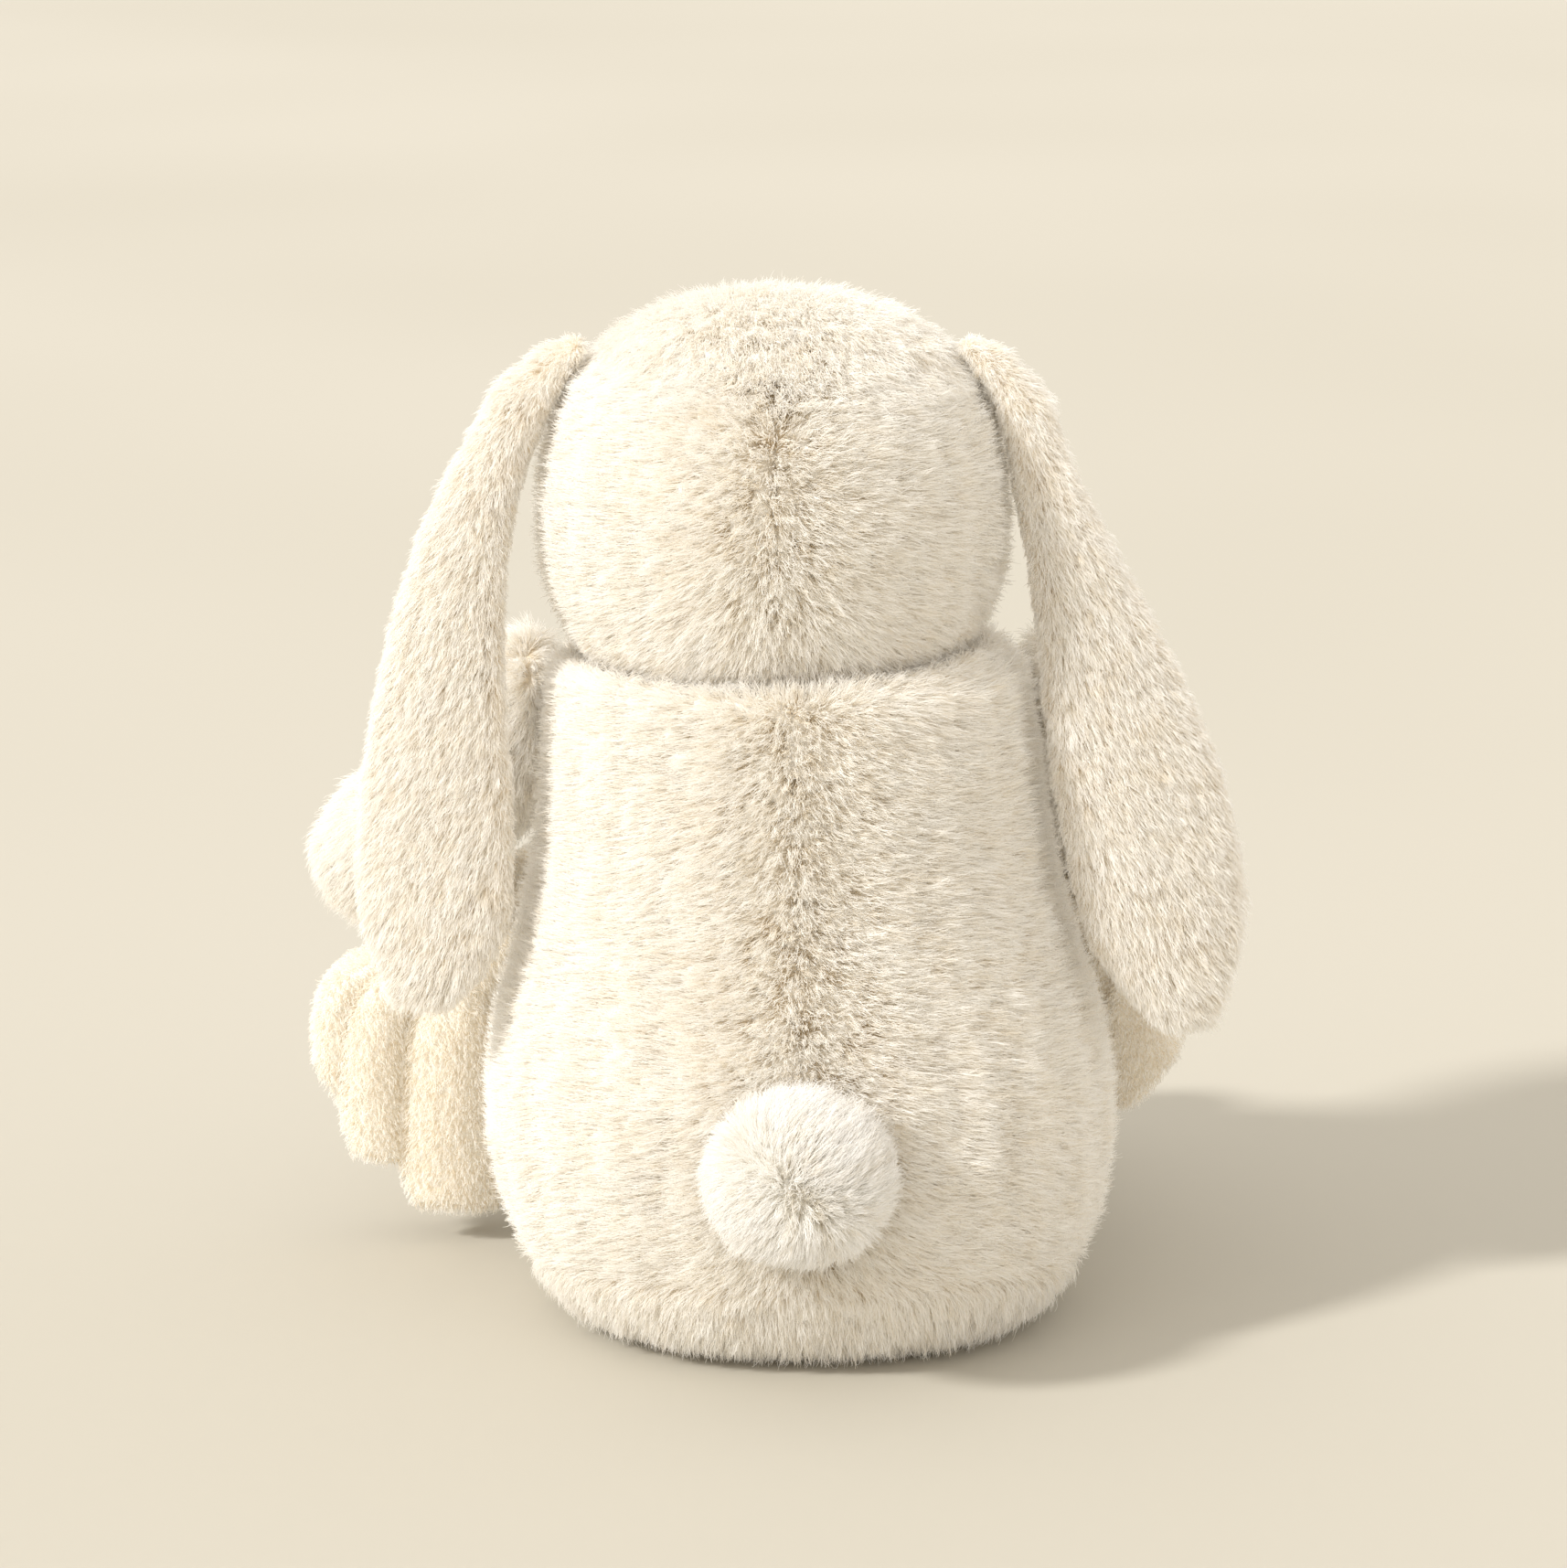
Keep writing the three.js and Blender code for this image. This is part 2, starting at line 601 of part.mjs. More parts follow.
function tailPieces() {
  const torso = torsoAsSeenFrom(TAIL_ROOT, Z_AXIS, TAIL_WAG, 1);
  const ball = (inset) => new THREE.SphereGeometry(1, 14, 10)
    .scale(...TAIL_HALF.clone().subScalar(inset).toArray()).translate(...TAIL.toArray());
  const { radius, length } = TAIL_THROAT;
  const mouth = new THREE.CylinderGeometry(radius, radius, length, 12)
    .translate(TAIL.x, TAIL.y - 15, TAIL.z);
  return {
    skin: cut(ball(0), ball(PELT), mouth, ...torso),
    filling: cut(ball(PELT + FILL_GAP), ...torso),
  };
}

// ---- Blanket ----

function blanketRoll() {
  const { half, height, middle, end_lift } = BLANKET_ROLL;
  const path = new THREE.CatmullRomCurve3([[81, -68], [54, -85], [3, -97], [-50, -87], [-71, -77]]
    .map(([x, y], i) => new THREE.Vector3(x, y, middle + (i % 4 === 0 ? end_lift : 0))));
  const rings = steps(0, 1, 14).map((t) => {
    const end = Math.min(t, 1 - t);
    const swell = 0.8 + 0.2 * Math.min(end / 0.15, 1);
    const centre = path.getPointAt(t);
    const along = path.getTangentAt(t);
    const out = new THREE.Vector3().crossVectors(along, Z_AXIS).normalize();
    return steps(0, 2 * Math.PI, 10).slice(1).map((angle) => centre.clone()
      .addScaledVector(out, half * swell * Math.cos(angle))
      .addScaledVector(Z_AXIS, height * swell * Math.sin(angle)));
  });
  return cut(loft(rings), torsoOutside);
}

// The outline of the pleated end from above, with a rounded lobe for each fold.
function pleatedOutline({ inner, outer, front, back }, lobes) {
  const shape = new THREE.Shape();
  const step = (outer - inner) / lobes;
  const depth = Math.abs(step) * 0.35;
  shape.moveTo(inner, front + depth);
  for (let i = 0; i < lobes; i += 1) {
    const x = inner + step * i;
    shape.quadraticCurveTo(x + step / 2, front - depth, x + step, front + depth);
  }
  shape.lineTo(outer, back - depth);
  for (let i = lobes; i > 0; i -= 1) {
    const x = inner + step * i;
    shape.quadraticCurveTo(x - step / 2, back + depth, x - step, back - depth);
  }
  shape.closePath();
  return shape;
}

function leftDrop() {
  const { inner, outer, top, bottom, rise } = LEFT_DROP;
  const outline = pleatedOutline(LEFT_DROP, PLEATS);
  const block = new THREE.ExtrudeGeometry(outline, {
    depth: top - bottom, curveSegments: 3, bevelEnabled: false,
  }).translate(0, 0, bottom);
  const middle = (inner + outer) / 2;
  const slope = boxBetween([-120, -150, -100], [120, 150, 0]).rotateY(-Math.atan(rise))
    .translate(middle, 0, bottom + 2);
  return cut(block, slope);
}

function rightDrop() {
  const { inner, outer, front, back, top, bottom } = RIGHT_DROP;
  const size = [Math.abs(outer - inner) / 2, (back - front) / 2, (top - bottom) / 2];
  const places = steps(-1, 1, 8).map((t) => signedPower(t, 0.7));
  const rings = places.map((height) => {
    const under = height < 0 ? (1 - Math.min(-height, 0.98) ** 2.4) ** (1 / 2.4) : 1;
    return steps(0, 2 * Math.PI, 14).slice(1).map((angle) => new THREE.Vector3(
      (inner + outer) / 2 + size[0] * under * signedPower(Math.cos(angle), 0.75),
      (front + back) / 2 + size[1] * under * signedPower(Math.sin(angle), 0.75),
      (top + bottom) / 2 + size[2] * height,
    ));
  });
  return loft(rings);
}

// ---- Assembly ----

const bunny = new THREE.Group();

function add(name, geometry, color, roughness = 0.95) {
  const mesh = new THREE.Mesh(geometry, new THREE.MeshStandardMaterial({ color, roughness }));
  mesh.name = name;
  bunny.add(mesh);
}

const quarter = Math.PI / 2;
add('torso_back_left', torsoPanel(0, quarter, TORSO_COLUMNS / 4), CREAM);
add('torso_back_right', torsoPanel(quarter, Math.PI, TORSO_COLUMNS / 4), CREAM);
add('torso_belly', torsoPanel(-Math.PI, 0, TORSO_COLUMNS / 2), CREAM);
add('seat_panel', seatPanel(), CREAM);
add('torso_filling', torsoFilling(), FILLING);
add('pellet_bag', pelletBag(0), 0xd9d2c4);
add('neck_filling', neckPlug(0), FILLING);

const cheekLeft = headPanel(FACE_SEAM, CHEEK_SEAM, 6);
const cheekRight = headPanel(Math.PI - CHEEK_SEAM, Math.PI - FACE_SEAM, 6);
add('head_back_left', headPanel(CHEEK_SEAM, quarter, 4), CREAM);
add('head_back_right', headPanel(quarter, Math.PI - CHEEK_SEAM, 4), CREAM);
add('head_cheek_left', cut(cheekLeft, eyeHole(1)), CREAM);
add('head_cheek_right', cut(cheekRight, eyeHole(-1)), CREAM);
add('head_face', headPanel(-Math.PI - FACE_SEAM, FACE_SEAM, 4), CREAM);
add('head_crown', crownPanel(), CREAM);
add('head_filling', cut(headFilling(), washerPocket(1), washerPocket(-1)), FILLING);
add('muzzle', cut(muzzleBall(0), headOutside(CLEAR)), WHITE);
add('nose', nosePad(), 0xc98f86, 0.7);
add('mouth_stitch', mouthStitch(), 0x8a5a50, 0.7);

for (const [name, side] of [['left', 1], ['right', -1]]) {
  add(`eye_${name}`, eye(side), 0x120d0b, 0.15);
  add(`eye_washer_${name}`, washer(side), 0xe9e9e6, 0.5);
  add(`ear_${name}_fur`, earHalf(name, 1), CREAM);
  add(`ear_${name}_lining`, earHalf(name, -1), WHITE);
  const arm = armPieces(ARMS[name]);
  add(`arm_${name}_front`, arm.front, CREAM);
  add(`arm_${name}_back`, arm.back, CREAM);
  add(`arm_${name}_filling`, arm.filling, FILLING);
  const leg = legPieces(side);
  add(`leg_${name}_top`, leg.top, CREAM);
  add(`leg_${name}_under`, leg.under, CREAM);
  add(`leg_${name}_filling`, leg.filling, FILLING);
  add(`foot_pad_${name}`, footPad(side, 0), WHITE);
}

const tail = tailPieces();
add('tail_fur', tail.skin, WHITE);
add('tail_filling', tail.filling, FILLING);

add('blanket_middle', blanketRoll(), BLANKET_CREAM);
add('blanket_left_end', leftDrop(), BLANKET_CREAM);
add('blanket_right_end', rightDrop(), BLANKET_CREAM);

export default bunny;
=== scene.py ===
import math

import bmesh
import bpy
import numpy as np
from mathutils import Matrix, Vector
from mathutils import noise
from mathutils.bvhtree import BVHTree
from mathutils.kdtree import KDTree


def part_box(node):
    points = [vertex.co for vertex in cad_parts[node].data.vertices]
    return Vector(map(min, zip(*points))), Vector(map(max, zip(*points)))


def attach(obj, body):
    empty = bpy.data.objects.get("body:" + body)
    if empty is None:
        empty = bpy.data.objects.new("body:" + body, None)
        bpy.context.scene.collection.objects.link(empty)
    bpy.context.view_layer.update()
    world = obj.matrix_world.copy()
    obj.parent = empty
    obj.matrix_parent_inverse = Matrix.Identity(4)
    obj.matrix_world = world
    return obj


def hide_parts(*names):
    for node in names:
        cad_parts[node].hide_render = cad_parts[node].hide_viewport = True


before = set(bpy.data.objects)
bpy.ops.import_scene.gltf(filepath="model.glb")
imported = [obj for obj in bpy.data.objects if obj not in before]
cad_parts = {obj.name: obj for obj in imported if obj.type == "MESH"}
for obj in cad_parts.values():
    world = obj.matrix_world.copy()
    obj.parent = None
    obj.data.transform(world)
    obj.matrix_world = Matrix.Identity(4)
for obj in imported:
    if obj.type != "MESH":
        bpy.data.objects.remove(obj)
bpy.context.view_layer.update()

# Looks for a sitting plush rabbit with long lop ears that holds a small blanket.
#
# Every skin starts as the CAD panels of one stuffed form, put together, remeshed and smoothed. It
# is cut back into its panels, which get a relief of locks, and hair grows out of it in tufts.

MM = 0.001
UP = np.array([0.0, 0.0, 1.0])


# ---- Camera, floor and light ----

VIEW_AZIMUTH = 180
VIEW_ELEVATION = 14
VIEW_DISTANCE = 1.6
FRAME_WIDTH = 0.480          # what the frame takes in at the object
AIM = Vector((2.5 * MM, 0, 164.4 * MM))
CLIP = (0.1, 100)
SUN_AZIMUTH = 120
SUN_ELEVATION = 36
SUN_DISTANCE = 2             # only says where the lamp stands
SUN_ENERGY = 2.7
SUN_COLOUR = (1.0, 0.98, 0.945)
SUN_WIDTH = math.radians(7)  # softens the shadow's edge
SKY_COLOUR = (1.0, 0.955, 0.885)
SKY_STRENGTH = 1.04
DIFFUSE_BOUNCES = 7
FLOOR_REACH = 30


def linked(name, data):
    made = bpy.data.objects.new(name, data)
    bpy.context.scene.collection.objects.link(made)
    return made


def looking(name, data, azimuth, elevation, distance):
    """An object that stands round the aim and looks at it."""
    a, e = math.radians(azimuth), math.radians(elevation)
    back = Vector((math.sin(a) * math.cos(e), -math.cos(a) * math.cos(e), math.sin(e)))
    made = linked(name, data)
    made.rotation_mode = "QUATERNION"
    made.location = AIM + back * distance
    made.rotation_quaternion = (-back).to_track_quat("-Z", "Y")
    return made


def camera():
    data = bpy.data.cameras.new("camera")
    data.lens = VIEW_DISTANCE * data.sensor_width / FRAME_WIDTH
    data.clip_start, data.clip_end = CLIP
    bpy.context.scene.camera = looking("camera", data, VIEW_AZIMUTH, VIEW_ELEVATION, VIEW_DISTANCE)


def light():
    sun = bpy.data.lights.new("key_light", "SUN")
    sun.energy = SUN_ENERGY
    sun.color = SUN_COLOUR
    sun.angle = SUN_WIDTH
    looking("key_light", sun, SUN_AZIMUTH, SUN_ELEVATION, SUN_DISTANCE)
    world = bpy.data.worlds.new("studio")
    world.use_nodes = True
    sky = world.node_tree.nodes["Background"]
    sky.inputs["Color"].default_value = (*SKY_COLOUR, 1)
    sky.inputs["Strength"].default_value = SKY_STRENGTH
    scene = bpy.context.scene
    scene.world = world
    scene.view_settings.view_transform = "Standard"
    scene.cycles.diffuse_bounces = DIFFUSE_BOUNCES


# ---- Materials ----

FIBRE_DETAIL = 2             # octaves of the noise that stands for fibres
SKIN_FIBRE = 0.5 * MM
FIBRES_SHOW = 0.6            # how strongly they tint the skin
HAIR_LIT_THROUGH = 0.35      # share of a strand's light that comes through it


def material(name, build, **settings):
    """A Principled material: build adds its nodes, and settings name its sockets."""
    made = bpy.data.materials.new(name)
    made.use_nodes = True
    nodes, links = made.node_tree.nodes, made.node_tree.links
    shader = nodes["Principled BSDF"]
    for socket, value in settings.items():
        shader.inputs[socket.replace("_", " ")].default_value = value
    build(nodes, links, shader)
    return made


def ramp(nodes, links, source, stops):
    """Colours by the source's value, between two or more stops."""
    made = nodes.new("ShaderNodeValToRGB")
    elements = made.color_ramp.elements
    while len(elements) < len(stops):
        elements.new(0.5)
    for element, (place, colour) in zip(elements, stops):
        element.position = place
        element.color = (*colour, 1)
    links.new(source, made.inputs["Fac"])
    return made.outputs["Color"]


def noise_at(nodes, links, size, detail):
    """Noise with features of about that size, in the piece's own space."""
    place = nodes.new("ShaderNodeTexCoord")
    made = nodes.new("ShaderNodeTexNoise")
    made.inputs["Scale"].default_value = 1 / size
    made.inputs["Detail"].default_value = detail
    links.new(place.outputs["Object"], made.inputs["Vector"])
    return made.outputs["Fac"]


def multiplied(nodes, links, a, b, share):
    made = nodes.new("ShaderNodeMix")
    made.data_type = "RGBA"
    made.blend_type = "MULTIPLY"
    for socket, value in ((made.inputs[6], a), (made.inputs[7], b), (made.inputs[0], share)):
        if isinstance(value, bpy.types.NodeSocket):
            links.new(value, socket)
        else:
            socket.default_value = value
    return made.outputs[2]


def bumped(nodes, links, shader, height, depth):
    made = nodes.new("ShaderNodeBump")
    made.inputs["Distance"].default_value = depth
    links.new(height, made.inputs["Height"])
    links.new(made.outputs["Normal"], shader.inputs["Normal"])


def grained(name, size, detail, stops, depth=0, **settings):
    """A material whose colour, and relief if it has any, follow one noise."""
    def build(nodes, links, shader):
        grain = noise_at(nodes, links, size, detail)
        links.new(ramp(nodes, links, grain, stops), shader.inputs["Base Color"])
        if depth:
            bumped(nodes, links, shader, grain, depth)
    return material(name, build, **settings)


def fur_skin_material(name, shaded_deep, middle, top):
    """The mass of the pile: dark between the tufts as painted shade, and pale on them."""
    def build(nodes, links, shader):
        depth = nodes.new("ShaderNodeAttribute")
        depth.attribute_name = "tuft"
        # low relief is coloured darker: painted shade between the locks
        base = ramp(nodes, links, depth.outputs["Fac"], [(0.0, shaded_deep), (0.4, middle), (1.0, top)])
        fibre = noise_at(nodes, links, SKIN_FIBRE, FIBRE_DETAIL)
        tint = ramp(nodes, links, fibre, [(0.3, (0.72, 0.66, 0.56)), (0.65, (1.0, 1.0, 1.0))])
        colour = multiplied(nodes, links, base, tint, FIBRES_SHOW)
        links.new(colour, shader.inputs["Base Color"])
        bumped(nodes, links, shader, fibre, SKIN_FIBRE)
    return material(name, build, Roughness=0.95, Sheen_Weight=0.25, Sheen_Roughness=0.5)


def hair_material(name, shaded_root, middle, tip):
    """Strands: coloured along their length, darker at the root as painted shade deep in the pile,
    tinted one by one, and lit partly through.
    """
    made = bpy.data.materials.new(name)
    made.use_nodes = True
    nodes, links = made.node_tree.nodes, made.node_tree.links
    nodes.clear()
    info = nodes.new("ShaderNodeHairInfo")
    along = info.outputs["Intercept"]
    # the root colour is painted shade deep in the pile
    colour = ramp(nodes, links, along, [(0.0, shaded_root), (0.45, middle), (0.85, tip)])
    tone = nodes.new("ShaderNodeAttribute")
    tone.attribute_name = "tone"
    tones = [(0.0, (0.93, 0.89, 0.82)), (0.7, (1.0, 1.0, 1.0))]
    tint = ramp(nodes, links, tone.outputs["Fac"], tones)
    colour = multiplied(nodes, links, colour, tint, 1.0)
    matt = nodes.new("ShaderNodeBsdfDiffuse")
    through = nodes.new("ShaderNodeBsdfTranslucent")
    both = nodes.new("ShaderNodeMixShader")
    both.inputs["Fac"].default_value = HAIR_LIT_THROUGH
    output = nodes.new("ShaderNodeOutputMaterial")
    links.new(colour, matt.inputs["Color"])
    links.new(colour, through.inputs["Color"])
    links.new(matt.outputs[0], both.inputs[1])
    links.new(through.outputs[0], both.inputs[2])
    links.new(both.outputs[0], output.inputs["Surface"])
    return made


# ---- Surfaces ----

BACKING_SWELL = 3 * MM       # closes the gap between a filling and its skin
SKIN_ROUNDS = 8              # rounds of smoothing
SHRINK, GROW = 0.6, -0.61    # the two steps of a round
NO_SEAM = 1.0                # metres to the next seam, for a skin that has none


def rows_of(collection, key, width, kind=float):
    """One property of a mesh's points, edges or triangles, a row for each."""
    values = np.empty(len(collection) * width, kind)
    collection.foreach_get(key, values)
    return values.reshape(-1, width)


class Surface:
    """A mesh's points, normals, edges and faces as arrays."""

    def __init__(self, mesh):
        mesh.calc_loop_triangles()
        self.points = rows_of(mesh.vertices, "co", 3)
        self.normals = rows_of(mesh.vertices, "normal", 3)
        self.edges = rows_of(mesh.edges, "vertices", 2, int)
        self.triangles = rows_of(mesh.loop_triangles, "vertices", 3, int)
        self.quads = [tuple(p.vertices) for p in mesh.polygons]


def mesh_of(name, points, faces):
    made = bpy.data.meshes.new(name)
    made.from_pydata([tuple(p) for p in points], [], [tuple(f) for f in faces])
    made.update()
    return made


def finished(name, mesh, style):
    """A smooth-shaded object with one material."""
    mesh.polygons.foreach_set("use_smooth", [True] * len(mesh.polygons))
    mesh.materials.append(style)
    return linked(name, mesh)


def cad_mesh(name, nodes, backing=()):
    """The CAD nodes' own meshes, put together, and the backing nodes' meshes, swollen."""
    points, faces = [], []
    for node in [*nodes, *backing]:
        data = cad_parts[node].data
        start = len(points)
        swell = BACKING_SWELL if node in backing else 0
        points += [v.co + swell * v.normal for v in data.vertices]
        faces += [[start + i for i in p.vertices] for p in data.polygons]
    return mesh_of(name, points, faces)


def applied(mesh, kind, **settings):
    """The mesh with one modifier applied to it."""
    holder = linked("holder", mesh)
    modifier = holder.modifiers.new(kind, kind)
    for key, value in settings.items():
        setattr(modifier, key, value)
    graph = bpy.context.evaluated_depsgraph_get()
    made = bpy.data.meshes.new_from_object(holder.evaluated_get(graph))
    bpy.data.objects.remove(holder)
    return made


def outer_island(mesh):
    """Drops every island but the one with the most points."""
    bm = bmesh.new()
    bm.from_mesh(mesh)
    left, islands = set(bm.verts), []
    while left:
        island, front = set(), [left.pop()]
        while front:
            vert = front.pop()
            island.add(vert)
            for edge in vert.link_edges:
                other = edge.other_vert(vert)
                if other in left:
                    left.discard(other)
                    front.append(other)
        islands.append(island)
    largest = max(islands, key=len)
    bmesh.ops.delete(bm, geom=[v for v in bm.verts if v not in largest], context="VERTS")
    bm.to_mesh(mesh)
    bm.free()
    return mesh


def relaxed(surface, rounds):
    """Taubin smoothing: evens the facets out and keeps the volume."""
    points = surface.points.copy()
    a, b = surface.edges.T
    count = np.bincount(surface.edges.ravel(), minlength=len(points))[:, None]
    for turn in range(rounds * 2):
        total = np.empty_like(points)
        for axis in range(3):
            total[:, axis] = (np.bincount(a, points[b, axis], len(points))
                              + np.bincount(b, points[a, axis], len(points)))
        points += (SHRINK if turn % 2 == 0 else GROW) * (total / count - points)
    return points


def smooth_surface(name, nodes, backing, voxel, rounds=SKIN_ROUNDS):
    """One smooth closed skin round the CAD nodes."""
    mesh = applied(cad_mesh(name, nodes, backing), "REMESH", mode="VOXEL", voxel_size=voxel)
    outer_island(mesh)
    mesh.vertices.foreach_set("co", relaxed(Surface(mesh), rounds).ravel())
    mesh.update()
    return Surface(applied(mesh, "SUBSURF", levels=1, render_levels=1))


def distances(points, nodes):
    """How far each point is from the nearest of some CAD nodes."""
    data = cad_mesh("near", nodes)
    tree = BVHTree.FromPolygons([v.co for v in data.vertices],
                                [tuple(p.vertices) for p in data.polygons])
    return np.array([tree.find_nearest(p)[3] for p in points])


def shared_out(surface, panels):
    """Gives each point the panel that it lies on, and how far it is from the next one's seam."""
    away = np.stack([distances(surface.points, [panel]) for panel in panels])
    surface.panel = away.argmin(0)
    near = np.sort(away, axis=0)
    if len(panels) > 1:
        surface.seam = near[1] - near[0]
    else:
        surface.seam = np.full(len(surface.points), NO_SEAM)


# ---- Tufts and hair ----

FLOOR_GAP = 0.4 * MM
FEWEST_TUFTS = 8

# How tufts differ. A wander is smooth noise of a given size, and a scatter is from one to the next.
COMB_WANDER, COMB_WANDER_SIZE, COMB_SCATTER = 0.35, 34 * MM, 0.13
TILT_SCATTER, TUFT_TILTS = 0.12, (0.1, 1.3)
HEIGHT_WANDER, HEIGHT_WANDER_SIZE, HEIGHT_SCATTER = 0.10, 12 * MM, 0.06
TONE_MIDDLE, TONE_WANDER, TONE_WANDER_SIZE, TONE_SCATTER = 0.66, 0.4, 4 * MM, 0.2

# How the strands of one tuft differ.
HAIR_POINTS = 5
ALONG_HAIR = np.linspace(0, 1, HAIR_POINTS)
SHORTEST_SHARE = 0.12        # pile trimmed shorter than this share is left out
LENGTH_LEAST, LENGTH_MORE = 0.84, 0.32
STRAND_TILT_SCATTER, STRAND_TILTS = 0.12, (0.05, 1.35)
STRAND_COMB_SCATTER = 0.15
STRAND_TONE_SCATTER = 0.12
ARCH = 0.15                  # rise of a strand's middle, as a share of its length
PULL_CURVE = 1.6             # the pull towards the tuft's tip grows along the strand
RIPPLE = 0.22 * MM
WIDTH_LEAST, WIDTH_MORE = 0.75, 0.5
TAPER = 0.7                  # share of its width that a strand loses by its tip


def unit(vectors):
    return vectors / np.maximum(np.linalg.norm(vectors, axis=1, keepdims=True), 1e-9)


def laid(vectors, normals):
    """The vectors, flat on the surface."""
    return vectors - (vectors * normals).sum(1, keepdims=True) * normals


def smoothstep(low, high, value):
    t = np.clip((value - low) / (high - low), 0, 1)
    return t * t * (3 - 2 * t)


def crossed(surface):
    """Twice the area of each triangle."""
    a, b, c = surface.points[surface.triangles].transpose(1, 0, 2)
    return np.linalg.norm(np.cross(b - a, c - a), axis=1)


def scattered(surface, count, random):
    """Points spread over the surface by area, with their normals and how long the pile is there."""
    corners = surface.points[surface.triangles]
    area = crossed(surface)
    chosen = random.choice(len(area), count, p=area / area.sum())
    u, v = random.random((2, count, 1))
    flip = u + v > 1
    u, v = np.where(flip, 1 - u, u), np.where(flip, 1 - v, v)
    weights = np.stack([1 - u - v, u, v], axis=1)
    ends = surface.triangles[chosen]
    points = (corners[chosen] * weights).sum(1)
    normals = unit((surface.normals[ends] * weights).sum(1))
    return points, normals, (surface.long[ends] * weights[:, :, 0]).sum(1)


def tree_of(points):
    tree = KDTree(len(points))
    for index, point in enumerate(points):
        tree.insert(point, index)
    tree.balance()
    return tree


def wandering(points, size, seed):
    """Smooth noise from -1 to 1 at each point."""
    shift = Vector((seed * 7.3, seed * 3.1, seed * 5.7))
    return np.array([noise.noise(Vector(p) / size + shift) for p in points])


class Pile:
    """The tufts of one skin: where each grows, which way it is combed and how far it leans."""

    def __init__(self, surface, comb, spacing, seed):
        self.random = np.random.default_rng(seed)
        count = max(int(crossed(surface).sum() / 2 / spacing ** 2), FEWEST_TUFTS)
        self.roots, self.normals, _ = scattered(surface, count, self.random)
        direction, tilt = comb(self.roots, self.normals)
        direction = laid(direction, self.normals)
        swirl = COMB_WANDER * wandering(self.roots, COMB_WANDER_SIZE, seed)[:, None]
        direction = direction + swirl * np.cross(self.normals, direction)
        direction += COMB_SCATTER * self.random.standard_normal(direction.shape)
        self.comb = unit(laid(direction, self.normals))
        self.tilt = np.clip(tilt + TILT_SCATTER * self.random.standard_normal(count), *TUFT_TILTS)
        self.height = (1 + HEIGHT_WANDER * wandering(self.roots, HEIGHT_WANDER_SIZE, seed + 1)
                       + HEIGHT_SCATTER * self.random.standard_normal(count))
        tone = TONE_MIDDLE + TONE_WANDER * wandering(self.roots, TONE_WANDER_SIZE, seed + 2)
        self.tone = np.clip(tone + TONE_SCATTER * self.random.standard_normal(count), 0, 1)
        self.tree = tree_of(self.roots)

    def nearest(self, points):
        return np.array([self.tree.find(p)[1] for p in points])


def hair(name, surface, pile, style, density, length, width, depth, gather):
    """Strands rooted depth below the surface, less where they are short, that lean with a tuft."""
    random = pile.random
    roots, normals, long = scattered(surface, int(crossed(surface).sum() / 2 * density), random)
    kept = long > SHORTEST_SHARE
    roots, normals, long = roots[kept], normals[kept], long[kept]
    count = len(roots)
    tuft = pile.nearest(roots)
    below = (long * depth)[:, None] * normals
    long = long * pile.height[tuft] * length * (LENGTH_LEAST + LENGTH_MORE * random.random(count))
    long = long[:, None]
    tilt = pile.tilt[tuft] + STRAND_TILT_SCATTER * random.standard_normal(count)
    tilt = np.clip(tilt, *STRAND_TILTS)[:, None]
    comb = pile.comb[tuft] + STRAND_COMB_SCATTER * random.standard_normal((count, 3))
    comb = unit(laid(comb, normals))
    lean = long * (np.sin(tilt) * comb + np.cos(tilt) * normals)
    tuft_tilt = pile.tilt[tuft][:, None]
    tuft_lean = long * (np.sin(tuft_tilt) * pile.comb[tuft]
                        + np.cos(tuft_tilt) * pile.normals[tuft])
    pull = gather * random.random((count, 1)) * (pile.roots[tuft] + tuft_lean - roots - lean)
    strands = np.empty((count, HAIR_POINTS, 3))
    for i, t in enumerate(ALONG_HAIR):
        arch = ARCH * math.sin(math.pi * t) * long * normals
        strands[:, i] = roots - below + t * lean + arch + t ** PULL_CURVE * pull
    ripple = RIPPLE * random.standard_normal((count, HAIR_POINTS, 3))
    ripple[:, 0] = 0
    strands += ripple
    strands[:, :, 2] = np.maximum(strands[:, :, 2], FLOOR_GAP)
    data = bpy.data.hair_curves.new(name)
    data.add_curves([HAIR_POINTS] * count)
    data.points.foreach_set("position", strands.astype(np.float32).ravel())
    radius = width * (WIDTH_LEAST + WIDTH_MORE * random.random((count, 1)))
    radius = radius * (1 - TAPER * ALONG_HAIR ** 2)
    data.points.foreach_set("radius", radius.astype(np.float32).ravel())
    tone = data.attributes.new("tone", "FLOAT", "CURVE")
    shade = pile.tone[tuft] + STRAND_TONE_SCATTER * random.standard_normal(count)
    shade = np.clip(shade, 0, 1)
    tone.data.foreach_set("value", shade.astype(np.float32))
    data.materials.append(style)
    return linked(name, data)


# ---- Skins, cut into their panels ----

LOCK_SPACING = 4.2 * MM
LOCK_WIDTH = 3.4 * MM
LOCK_REACH = 9 * MM
LOCKS_NEAR = 5               # how many locks can cover one point
LOCK_RISE = (-0.5, 0.55)     # shares of its reach between which a lock climbs
LOCK_STEP = (0.6, 0.85)      # and those between which it ends
LOCK_HEIGHTS = (0.6, 1.3)
SKIN_THICK = 1.5 * MM
SEAM_WIDTH = 2.5 * MM
SEAT_SEAM_WIDTH = 5 * MM
SEAT_SEAM_MORE = 2.2         # how much more the seat's seam shows than the others
HAIR_SEED = 50               # added to a skin's seed for its hair
HAIR_WIDTH = 0.10 * MM
ROOT_DEPTH = 0.5 * MM        # how far inside the skin the hair starts


